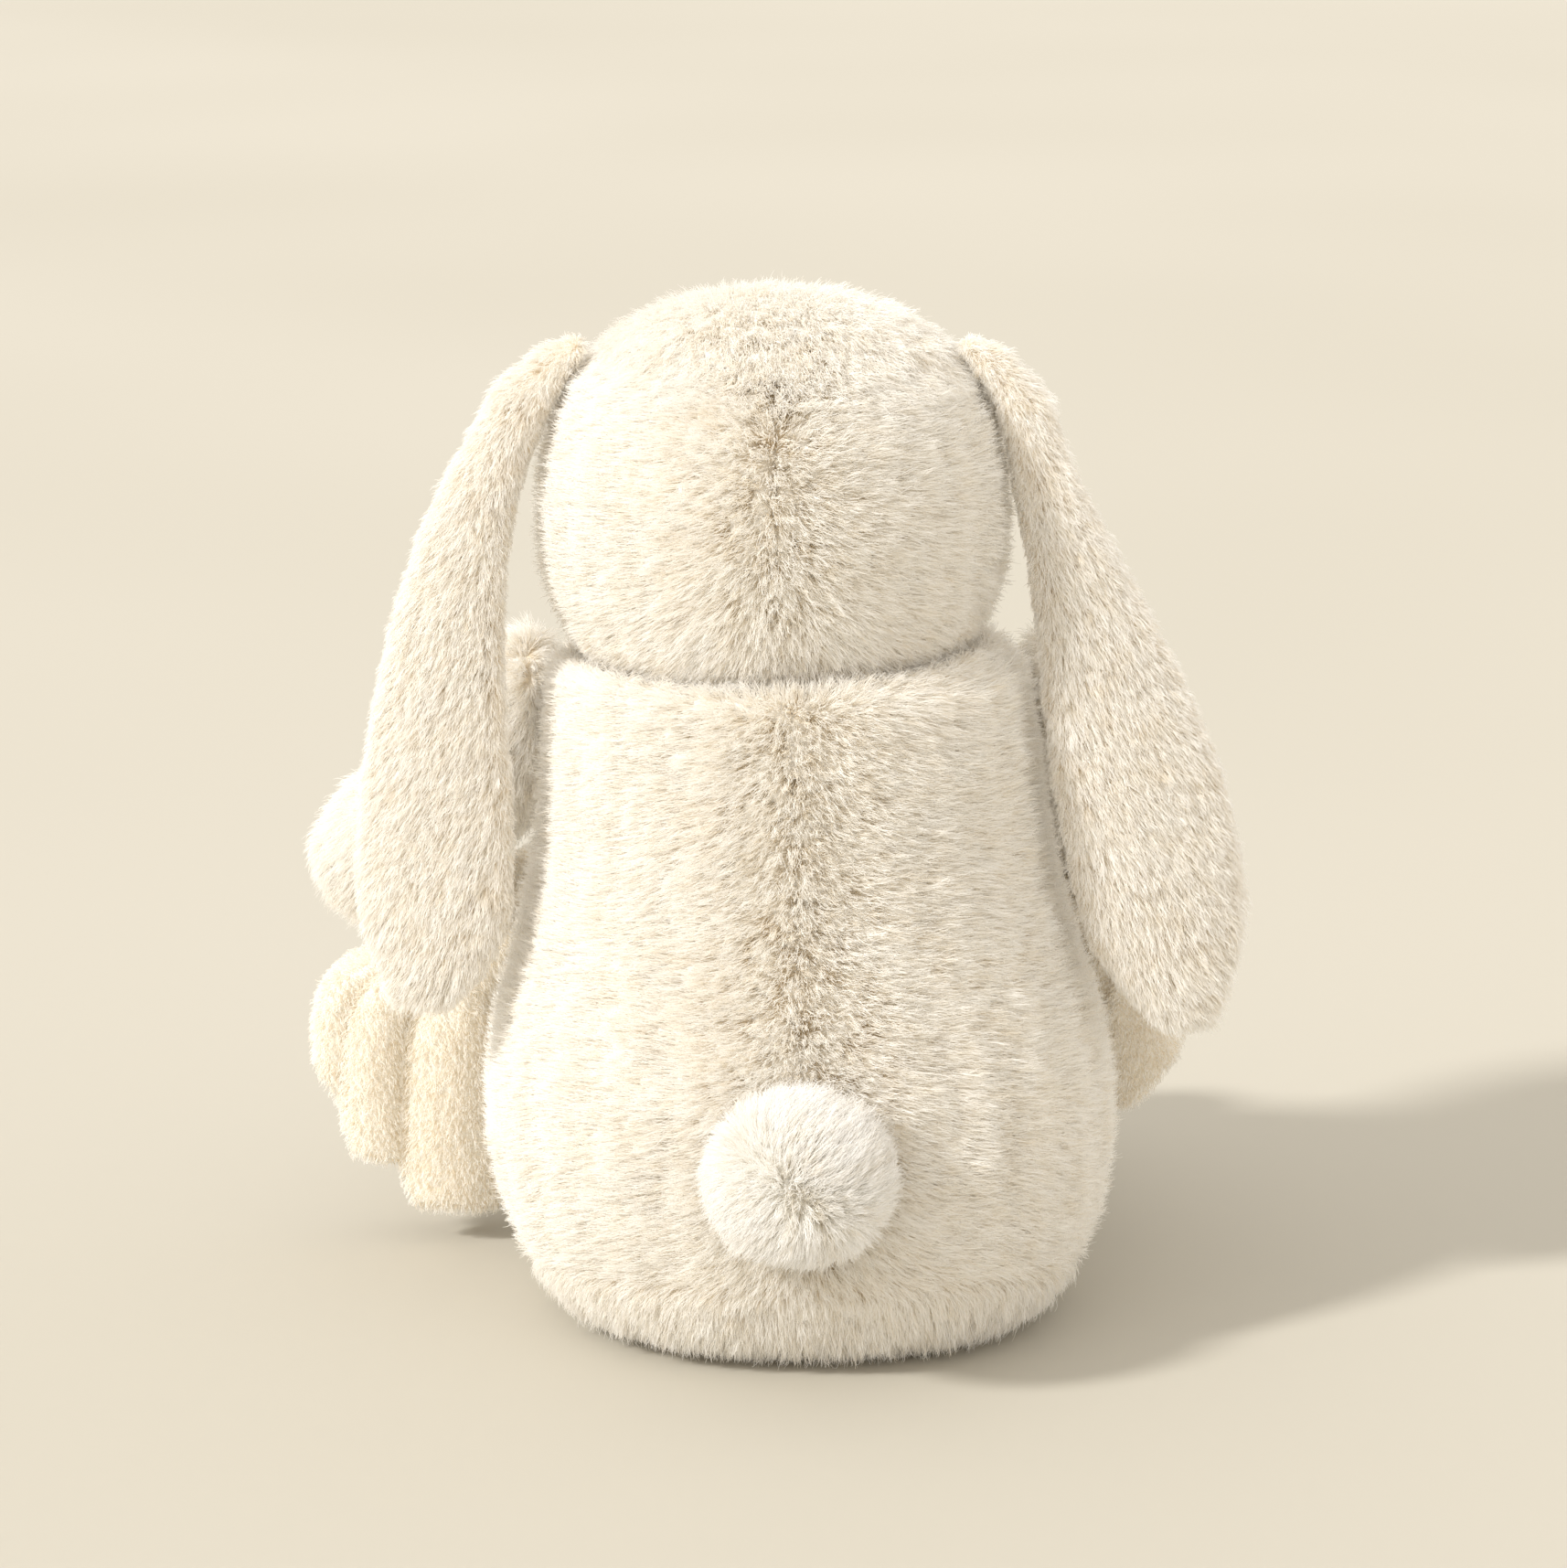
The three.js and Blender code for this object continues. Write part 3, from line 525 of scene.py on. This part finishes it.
def relief(surface, locks):
    """0 between the locks and about 1 on top: each rises along its comb and ends in a step."""
    near = np.array([[index for _, index, _ in locks.tree.find_n(p, LOCKS_NEAR)]
                     for p in surface.points])
    apart = surface.points[:, None] - locks.roots[near]
    comb = locks.comb[near]
    along = (apart * comb).sum(2)
    across = np.sqrt(np.maximum((apart ** 2).sum(2) - along ** 2, 0))
    body = np.sqrt(np.clip(1 - (across / LOCK_WIDTH) ** 2, 0, 1))
    share = along / LOCK_REACH
    rise = smoothstep(*LOCK_RISE, share) * (1 - smoothstep(*LOCK_STEP, share))
    return (body * rise * np.clip(locks.height[near], *LOCK_HEIGHTS)).max(1)


def panel_piece(name, surface, index, outer, inner, tuft, style):
    """One panel as a closed shell: its share of the faces, the same faces inside, and a rim."""
    mine = [q for q in surface.quads if np.bincount(surface.panel[list(q)]).argmax() == index]
    used = np.unique(np.array([v for q in mine for v in q]))
    place = np.full(len(surface.points), -1)
    place[used] = np.arange(len(used))
    front = [tuple(int(place[v]) for v in q) for q in mine]
    size = len(used)
    open_edges = {}
    for q in front:
        for a, b in zip(q, q[1:] + q[:1]):
            if (b, a) in open_edges:
                del open_edges[(b, a)]
            else:
                open_edges[(a, b)] = True
    rim = [(b, a, a + size, b + size) for a, b in open_edges]
    back = [tuple(v + size for v in reversed(q)) for q in front]
    points = np.concatenate([outer[used], inner[used]])
    made = finished(name, mesh_of(name, points, front + back + rim), style)
    height = made.data.attributes.new("tuft", "FLOAT", "POINT")
    heights = np.concatenate([tuft[used], np.zeros(size)])
    height.data.foreach_set("value", heights.astype(np.float32))
    return made


def skin(part, body, panels, backing, comb, style, seed, depth=6.5 * MM,
         length=10 * MM, density=3.2e6, spacing=1.15 * MM, relief_height=4 * MM,
         seam_depth=0.7 * MM, seam_cut=0.06, voxel=3 * MM, trim=None, gather=0.35):
    """Makes one stuffed form's panels and its hair.

    style holds the skin's and the hair's material. The panels lie depth under the CAD's surface.
    density is in strands and spacing between tufts, and seam_cut is how much shorter the pile is
    at a seam. trim gives the share of its length that the pile has at each point.
    """
    surface = smooth_surface(part, panels, backing, voxel)
    shared_out(surface, panels)
    by_seam = np.exp(-(surface.seam / SEAM_WIDTH) ** 2)
    if "seat_panel" in panels:
        from_seat = (surface.points[:, 2:] - seat_seam(surface.points))[:, 0]
        by_seam *= 1 + SEAT_SEAM_MORE * np.exp(-(from_seat / SEAT_SEAM_WIDTH) ** 2)
    surface.long = 1 - seam_cut * by_seam
    if trim is not None:
        surface.long *= trim(surface.points)
    tuft = relief(surface, Pile(surface, comb, LOCK_SPACING, seed))
    sunk = depth * surface.long + seam_depth * by_seam
    ground = surface.points - sunk[:, None] * surface.normals
    outer = ground + (relief_height * tuft * surface.long)[:, None] * surface.normals
    inner = ground - SKIN_THICK * surface.normals
    for layer in (outer, inner):
        layer[:, 2] = np.maximum(layer[:, 2], FLOOR_GAP / 2)
    for index, panel in enumerate(panels):
        made = panel_piece(f"{panel}_pile", surface, index, outer, inner, tuft, style[0])
        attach(made, body)
        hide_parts(panel)
    pile = Pile(surface, comb, spacing, seed + HAIR_SEED)
    strands = hair(f"{part}_hair", surface, pile, style[1], density, length, HAIR_WIDTH,
                   depth + ROOT_DEPTH, gather)
    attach(strands, body)


# ---- Which way the fur is combed ----
#
# A comb gives a direction and a tilt in radians for points with normals: 0 stands straight up.

PARTING = 9 * MM             # over this the pile turns from one side to the other
BACK_SPREAD = 40 * MM        # from the middle of the back to where the pile lies down
UPRIGHT, LIES_DOWN = 12, 44  # degrees: in the middle, and how much more round the sides
LEVEL_LEAST = 0.25           # the level comb's strength in the middle
TORSO_PARTING_X = -3 * MM
TORSO_DROOP = 0.16
HEAD_DROOP = 0.14
SEAT_FRONT_HEIGHT = 8 * MM
SEAT_BLEND = 3 * MM


def round_the_side(points, normals, middle):
    """Level, from the middle of the back round either side to the front."""
    side = np.tanh((points[:, :1] - middle) / PARTING)
    return -side * np.cross(UP, normals)


def from_middle(points, middle):
    """0 in the middle of the back and 1 round the sides."""
    return smoothstep(0, BACK_SPREAD, np.abs(points[:, 0] - middle))[:, None]


def downwards(points, normals):
    return laid(np.broadcast_to(-UP, points.shape), normals)


def leaning(share):
    """The tilt where the pile lies down by that share."""
    return np.radians(UPRIGHT + LIES_DOWN * share[:, 0])


def seat_seam(points):
    """The height of the seam round the seat, which climbs towards the back."""
    low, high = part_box("seat_panel")
    behind = (points[:, 1:2] - low.y) / (high.y - low.y)
    return SEAT_FRONT_HEIGHT + (high.z - SEAT_FRONT_HEIGHT) * np.clip(behind, 0, 1)


def torso_comb(points, normals):
    """Level round the sides behind, down the belly, and down below the seat seam."""
    out = from_middle(points, TORSO_PARTING_X)
    front = smoothstep(0.2, 0.8, -normals[:, 1])[:, None]
    seat = 1 - smoothstep(-SEAT_BLEND, SEAT_BLEND, points[:, 2:] - seat_seam(points))
    level = round_the_side(points, normals, TORSO_PARTING_X) * (LEVEL_LEAST + out)
    level = level * (1 - 0.8 * front) * (1 - 0.8 * seat)
    down = downwards(points, normals) * (TORSO_DROOP + 0.9 * front + 0.9 * seat)
    return level + down, leaning(np.maximum(np.maximum(out, front), seat))


def head_comb(points, normals):
    """Level round the sides behind, back over the crown, and away from the nose in front."""
    low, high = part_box("head_filling")
    middle = (low.x + high.x) / 2
    nose = np.array(sum(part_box("nose"), Vector()) / 2)
    out = from_middle(points, middle)
    front = smoothstep(-0.1, 0.5, -normals[:, 1])[:, None]
    crown = smoothstep(0.45, 0.9, normals[:, 2])[:, None]
    under = smoothstep(0.1, 0.6, -normals[:, 2])[:, None]
    level = round_the_side(points, normals, middle) * (LEVEL_LEAST + out)
    down = downwards(points, normals) * (HEAD_DROOP + 0.6 * under)
    behind = level + down
    away = unit(laid(points - nose, normals))
    side = np.sign(points[:, :1] - middle) * out
    over = laid(np.concatenate([0.7 * side, np.ones_like(side), 0 * side], axis=1), normals)
    direction = behind * (1 - front) + away * front
    direction = direction * (1 - crown) + over * crown
    return direction, leaning(np.maximum(np.maximum(out, front), 1.1 * crown))


def one_way_comb(direction, tilt=58):
    """Combed one way, such as down an ear or along a limb to the paw."""
    def comb(points, normals):
        flat = laid(np.broadcast_to(np.array(direction, float), points.shape), normals)
        return flat, np.full(len(points), math.radians(tilt))
    return comb


TAIL_ACROSS = np.array([-0.62, 0.1, 0.78])    # across the parting
TAIL_PARTING = 14 * MM
TAIL_RADIUS = 20 * MM


def tail_comb(points, normals):
    """Both ways from a soft slanting parting, and outwards, so that the tail stays one pompon."""
    low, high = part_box("tail_fur")
    away = points - np.array((low + high) / 2)
    side = np.tanh((away * TAIL_ACROSS).sum(1, keepdims=True) / TAIL_PARTING)
    direction = side * TAIL_ACROSS + 0.5 * away / TAIL_RADIUS
    return laid(direction, normals), np.radians(16 + 30 * np.abs(side[:, 0]))


# ---- Build ----

camera()
light()
floor = linked("floor", mesh_of("floor", [(x * FLOOR_REACH, y * FLOOR_REACH, 0)
                                          for x, y in ((-1, -1), (1, -1), (1, 1), (-1, 1))],
                                [(0, 1, 2, 3)]))
floor.data.materials.append(grained(
    "floor", 0.8, 1, [(0.3, (0.525, 0.495, 0.425)), (0.7, (0.55, 0.52, 0.452))], Roughness=0.85))


def fur(name, skin_colours, hair_colours):
    """A skin's material, from the painted shade between the locks to their tops, and its hair's,
    from a root darkened as painted shade to the tip.
    """
    return (fur_skin_material(f"{name}_pile", *skin_colours),
            hair_material(f"{name}_hair", *hair_colours))


# In each palette the skin's first colour and the hair's root colour are painted shade in the pile.
CREAM = fur("cream", ((0.90, 0.81, 0.66), (0.95, 0.905, 0.83), (0.98, 0.965, 0.935)),
            ((0.91, 0.82, 0.67), (0.98, 0.96, 0.92), (0.995, 0.985, 0.965)))
WHITE = fur("white", ((0.95, 0.92, 0.86), (0.975, 0.955, 0.92), (0.99, 0.985, 0.965)),
            ((0.97, 0.95, 0.91), (0.99, 0.985, 0.965), (0.995, 0.99, 0.985)))
SOLE = fur("sole", ((0.78, 0.66, 0.50), (0.88, 0.79, 0.66), (0.94, 0.88, 0.78)),
           ((0.84, 0.72, 0.56), (0.94, 0.87, 0.76), (0.98, 0.94, 0.87)))


def beside(nodes, near, far, least):
    """Pile that gets shorter from far to near some CAD nodes, down to the least share."""
    def trim(points):
        return least + (1 - least) * smoothstep(near, far, distances(points, nodes))
    return trim


def together(*trims):
    """Every trim's share, multiplied."""
    def trim(points):
        return np.prod([one(points) for one in trims], axis=0)
    return trim


HEAD_PANELS = ["head_back_left", "head_back_right", "head_cheek_left", "head_cheek_right",
               "head_face", "head_crown"]
TORSO_PANELS = ["torso_back_left", "torso_back_right", "torso_belly", "seat_panel"]

skin("torso", "torso", TORSO_PANELS, ["torso_filling", "neck_filling"], torso_comb, CREAM, 1,
     depth=5 * MM, trim=beside(HEAD_PANELS, 0, 9 * MM, 0.55))
skin("head", "head", HEAD_PANELS, ["head_filling"], head_comb, CREAM, 2,
     trim=together(beside(["eye_left", "eye_right"], 0, 22 * MM, 0.28),
                   beside(["muzzle"], 0, 14 * MM, 0.5),
                   beside(["torso_back_left", "torso_back_right", "torso_belly"],
                          0, 12 * MM, 0.55)))
skin("tail", "tail", ["tail_fur"], ["tail_filling"], tail_comb, WHITE, 3,
     length=9.5 * MM, density=3.8e6, relief_height=2 * MM, gather=0.25)
skin("muzzle", "head", ["muzzle"], [], head_comb, WHITE, 4, depth=2.5 * MM,
     length=4.5 * MM, density=5e6, spacing=1 * MM, relief_height=1.2 * MM, voxel=1.6 * MM,
     trim=beside(["nose", "mouth_stitch"], 0.3 * MM, 5 * MM, 0.3))
for side, sign in (("left", 1), ("right", -1)):
    skin(f"ear_{side}", f"ear_{side}", [f"ear_{side}_fur", f"ear_{side}_lining"], [],
         one_way_comb((0.5 * sign, 0, -1), 50), CREAM, 10 + sign, depth=4.5 * MM,
         length=8 * MM, relief_height=2 * MM, seam_depth=0.3 * MM, seam_cut=0.0,
         trim=together(beside(HEAD_PANELS, 0, 16 * MM, 0.45),
                       beside([f"ear_{side}_lining"], 1 * MM, 6 * MM, 0.5)))
    skin(f"arm_{side}", f"arm_{side}", [f"arm_{side}_front", f"arm_{side}_back"],
         [f"arm_{side}_filling"], one_way_comb((0.4 * sign, -0.5, -0.8)), CREAM, 20 + sign,
         depth=6 * MM, trim=beside(TORSO_PANELS, 0, 12 * MM, 0.5))
    skin(f"leg_{side}", f"leg_{side}", [f"leg_{side}_top", f"leg_{side}_under"],
         [f"leg_{side}_filling"], one_way_comb((0, -1, -0.3)), CREAM, 30 + sign, depth=6 * MM,
         trim=together(beside([f"foot_pad_{side}"], 0.3 * MM, 9 * MM, 0.3),
                       beside(TORSO_PANELS, 0, 12 * MM, 0.5)))
    skin(f"foot_pad_{side}", f"leg_{side}", [f"foot_pad_{side}"], [],
         one_way_comb((0, 0, -1), 45), SOLE, 40 + sign, depth=0.6 * MM,
         length=2.6 * MM, density=5e6, spacing=1 * MM, relief_height=0.5 * MM, voxel=0.9 * MM)


# ---- Blanket ----

BLANKET_ROUTE = [    # the middle of the folded cloth in mm: place, half stack of pleats, half depth
    ((122, -61, 12), 29, 22), ((122, -61, 45), 29, 22), ((121, -61, 72), 28, 21),
    ((114, -62, 88), 21, 18), ((101, -64, 98), 12, 14), ((86, -68, 109), 11, 12),
    ((68, -77, 116), 12, 11), ((35, -92, 117), 13, 11), ((3, -97, 117), 13, 11),
    ((-28, -93, 117), 13, 11), ((-56, -84, 117), 12, 11), ((-76, -74, 112), 12, 12),
    ((-92, -64, 101), 12, 13), ((-104, -57, 88), 14, 14), ((-109, -55, 72), 17, 14),
    ((-110, -55, 50), 17, 13),
]
ROUTE_ROUNDS = 12             # rounds of smoothing
TURN_FROM = 12.0              # the route's row where the stack starts to turn by a quarter
BACK_FOLDS = [(-1.0, 0.06, 1.05), (0.06, 0.70, 0.92), (0.70, 1.0, 0.62)]    # from, to, how proud
FRONT_FOLDS = [(1.0, 0.35, 0.8), (0.35, -0.25, 1.0), (-0.25, -0.9, 0.9)]
FOLD_SPAN = (0.04, 0.96, 12)  # the part of each fold that has points, and how many
FOLD_FULLNESS = 0.5           # exponent of a fold's rounding, less is fuller
FOLD_VALLEYS = (0.5, 0.05)    # depth left between folds, in the drop and in the roll
DROP_TO_ROLL = (2, 5)         # rows between which the one turns into the other
HEM_DRAWN_IN = 0.6            # share of its depth that the drop has at its hem
HEM_OPEN_BY = 2.5             # the row where it has all of it
END_ROWS = 3                  # rows at each end whose hem is shaped
RIGHT_HEM = (-106 * MM, -126 * MM)    # from its inner side to its outer side, which hangs higher
RIGHT_HEM_LIFT = 17 * MM
LEFT_HEMS = ([-1, -0.05, 0.12, 0.6, 0.75, 1], [12, 13, 27, 30, 44, 60])   # mm, along the stack
CLOTH_THICK = 4 * MM
BLANKET_ROWS = 150
BLANKET_COLUMNS = 130


def spaced(line, count):
    """The same line with its points at even steps."""
    along = np.concatenate([[0], np.cumsum(np.linalg.norm(np.diff(line, axis=0), axis=1))])
    at = np.linspace(0, along[-1], count)
    return np.stack([np.interp(at, along, column) for column in line.T], axis=1)


def evened(line, rounds):
    for _ in range(rounds):
        line[1:-1] = (line[:-2] + 2 * line[1:-1] + line[2:]) / 4
    return line


def folded(stack, depth, valley):
    """Across the cloth: out along the back in three folds, round the edge and back in front."""
    corners = []
    for side, folds in ((1, BACK_FOLDS), (-1, FRONT_FOLDS)):
        for start, end, proud in folds:
            for u in np.linspace(*FOLD_SPAN):
                bulge = math.sin(math.pi * u) ** FOLD_FULLNESS
                height = valley + (1 - valley) * bulge
                corners.append((start + (end - start) * u, side * proud * height))
    line = np.array(corners)
    return spaced(evened(line, 2) * (stack, depth), BLANKET_COLUMNS)


def blanket_points():
    """The folded cloth along its route, with its left hem stepped and its right hem slanted."""
    rows = np.array([[*place, stack, depth] for place, stack, depth in BLANKET_ROUTE], float) * MM
    at = np.linspace(0, len(rows) - 1, BLANKET_ROWS)
    smooth = np.stack([np.interp(at, range(len(rows)), column) for column in rows.T], axis=1)
    smooth = evened(smooth, ROUTE_ROUNDS)
    tangents = unit(np.gradient(smooth[:, :3], axis=0))
    out = np.array([0.0, 1.0, 0.0])
    points = np.empty((BLANKET_ROWS, BLANKET_COLUMNS, 3))
    for row, (middle, along) in enumerate(zip(smooth, tangents)):
        turn = math.pi / 2 * float(smoothstep(TURN_FROM, len(rows) - 2.0, at[row]))
        up = np.cross(out, along)
        up /= np.linalg.norm(up)
        across = np.cross(along, up)
        section = folded(middle[3], middle[4], np.interp(at[row], DROP_TO_ROLL, FOLD_VALLEYS))
        section[:, 1] *= np.interp(at[row], (0, HEM_OPEN_BY), (HEM_DRAWN_IN, 1))
        stack = math.cos(turn) * up + math.sin(turn) * across
        depth = math.cos(turn) * across - math.sin(turn) * up
        points[row] = middle[:3] + section[:, :1] * stack + section[:, 1:] * depth
        if at[row] < END_ROWS:
            low, high = rows[0, 2], rows[END_ROWS, 2]
            hem = np.interp(section[:, 0] / middle[3], *LEFT_HEMS) * MM
            points[row, :, 2] = hem + (points[row, :, 2] - low) * (high - hem) / (high - low)
    last = len(rows) - float(END_ROWS)
    right = at > last
    outer = smoothstep(*RIGHT_HEM, points[right, :, 0])
    down = smoothstep(last, len(rows) - 1.0, at[right])[:, None]
    points[right, :, 2] += RIGHT_HEM_LIFT * outer * down
    return points


def blanket():
    points = blanket_points()
    rows, columns = points.shape[:2]
    faces = [(a, a + 1, a + columns + 1, a + columns)
             for row in range(rows - 1) for a in range(row * columns, row * columns + columns - 1)]
    mesh = mesh_of("blanket", points.reshape(-1, 3), faces)
    mesh = applied(mesh, "SOLIDIFY", thickness=CLOTH_THICK, offset=0)
    mesh = applied(mesh, "SUBSURF", levels=1, render_levels=1)
    cloth = grained("blanket_cloth", 0.7 * MM, FIBRE_DETAIL,
                    [(0.3, (0.90, 0.83, 0.70)), (0.7, (0.975, 0.95, 0.895))], 0.6 * MM,
                    Roughness=0.95, Sheen_Weight=0.3)
    made = finished("blanket", mesh, cloth)
    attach(made, "blanket")
    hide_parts("blanket_middle", "blanket_left_end", "blanket_right_end")
    surface = Surface(mesh)
    surface.long = np.ones(len(surface.points))
    pile = Pile(surface, one_way_comb((0, 0, -1), 40), spacing=1.1 * MM, seed=61)
    # The root colour is painted shade in the short pile.
    short = hair_material("short_hair", (0.93, 0.86, 0.74), (0.985, 0.96, 0.91), (1.0, 0.99, 0.97))
    strands = hair("blanket_hair", surface, pile, short, density=1.3e6, length=3.2 * MM,
                   width=0.14 * MM, depth=0.2 * MM, gather=0.5)
    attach(strands, "blanket")


blanket()


# ---- Face and what is inside ----

def fine_piece(name, node, body, voxel, style, shaping=None, rounds=4):
    """A piece made from its CAD node: remeshed finely, smoothed and given surface detail."""
    surface = smooth_surface(name, [node], [], voxel, rounds)
    points = surface.points
    if shaping is not None:
        points = points + shaping(points, surface.normals)[:, None] * surface.normals
    made = finished(name, mesh_of(name, points, surface.quads), style)
    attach(made, body)
    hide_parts(node)
    return made


def plastic(name, colour, rough):
    """Moulded plastic with a faint orange-peel surface."""
    pale = tuple(1.25 * c for c in colour)
    return grained(name, 1.5 * MM, FIBRE_DETAIL, [(0.3, colour), (0.8, pale)], 0.02 * MM,
                   Roughness=rough, Coat_Weight=0.6, Coat_Roughness=0.08)


def thread(name, dark, pale):
    """Embroidery thread."""
    return grained(name, 0.25 * MM, FIBRE_DETAIL, [(0.3, dark), (0.75, pale)], 0.08 * MM,
                   Roughness=0.6, Sheen_Weight=0.4)


def wadding():
    """Polyester filling: white, and cloudy where it is denser."""
    def build(nodes, links, shader):
        clump = noise_at(nodes, links, 9 * MM, 4)
        fibre = noise_at(nodes, links, 0.8 * MM, 3)
        cloud = ramp(nodes, links, clump, [(0.3, (0.82, 0.81, 0.78)), (0.7, (0.95, 0.95, 0.94))])
        strands = ramp(nodes, links, fibre, [(0.35, (0.86, 0.85, 0.83)), (0.7, (1, 1, 1))])
        links.new(multiplied(nodes, links, cloud, strands, 0.8), shader.inputs["Base Color"])
        bumped(nodes, links, shader, fibre, 0.9 * MM)
    return material("filling", build, Roughness=1.0, Sheen_Weight=0.35)


WEAVE_SCALE = 6 * MM          # the wave texture draws a fraction of this as one thread


def woven_cotton():
    """Plain weave of the pellet bag."""
    def build(nodes, links, shader):
        place = nodes.new("ShaderNodeTexCoord")
        heights = []
        for direction in ("X", "Y"):
            wave = nodes.new("ShaderNodeTexWave")
            wave.bands_direction = direction
            wave.inputs["Scale"].default_value = 1 / WEAVE_SCALE
            wave.inputs["Distortion"].default_value = 0.6
            links.new(place.outputs["Object"], wave.inputs["Vector"])
            heights.append(wave.outputs["Fac"])
        weave = multiplied(nodes, links, heights[0], heights[1], 1.0)
        links.new(ramp(nodes, links, weave, [(0.0, (0.55, 0.51, 0.44)), (0.6, (0.84, 0.81, 0.74))]),
                  shader.inputs["Base Color"])
        bumped(nodes, links, shader, weave, 0.15 * MM)
    return material("pellet_cloth", build, Roughness=0.9, Sheen_Weight=0.2)


def lumps(size, depth, seed):
    """Soft dents, inwards only."""
    def shaping(points, normals):
        large = wandering(points, size, seed)
        small = wandering(points, size / 3, seed + 1)
        return depth * (0.7 * large + 0.3 * small - 0.75)
    return shaping


SATIN_RISE, SATIN_THREAD = 0.13 * MM, 0.62 * MM
TWIST_RISE, TWIST_PITCH = 0.10 * MM, 0.9 * MM


def satin_stitch(points, normals):
    """Threads side by side down the nose."""
    return SATIN_RISE * np.abs(np.sin(math.pi * points[:, 0] / SATIN_THREAD))


def twisted_thread(points, normals):
    """The plies of the mouth's thread."""
    return TWIST_RISE * np.sin(2 * math.pi * (points[:, 0] + points[:, 2]) / TWIST_PITCH)


EYE_PLASTIC = plastic("eye_plastic", (0.018, 0.010, 0.007), 0.12)
WASHER_PLASTIC = plastic("washer_plastic", (0.75, 0.74, 0.70), 0.45)
NOSE_THREAD = thread("nose_thread", (0.42, 0.20, 0.17), (0.72, 0.42, 0.36))
MOUTH_THREAD = thread("mouth_thread", (0.24, 0.13, 0.10), (0.45, 0.27, 0.21))
FILLING = wadding()

for side in ("left", "right"):
    fine_piece(f"eye_{side}_bead", f"eye_{side}", "head", 0.55 * MM, EYE_PLASTIC)
    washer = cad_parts[f"eye_washer_{side}"].data.materials
    washer.clear()
    washer.append(WASHER_PLASTIC)
fine_piece("nose_satin", "nose", "head", 0.3 * MM, NOSE_THREAD, satin_stitch)
fine_piece("mouth_threads", "mouth_stitch", "head", 0.25 * MM, MOUTH_THREAD,
           twisted_thread, rounds=2)

FILLED = {"torso_filling": "torso", "neck_filling": "torso", "head_filling": "head",
          "tail_filling": "tail"}
for side in ("left", "right"):
    FILLED[f"arm_{side}_filling"] = f"arm_{side}"
    FILLED[f"leg_{side}_filling"] = f"leg_{side}"
for index, (node, body) in enumerate(FILLED.items()):
    made = fine_piece(f"{node}_wadding", node, body, 2.6 * MM, FILLING,
                      lumps(16 * MM, 1.1 * MM, seed=index))
bag = fine_piece("pellet_bag_cloth", "pellet_bag", "torso", 2 * MM, woven_cotton(),
                 lumps(7 * MM, 0.9 * MM, seed=20))
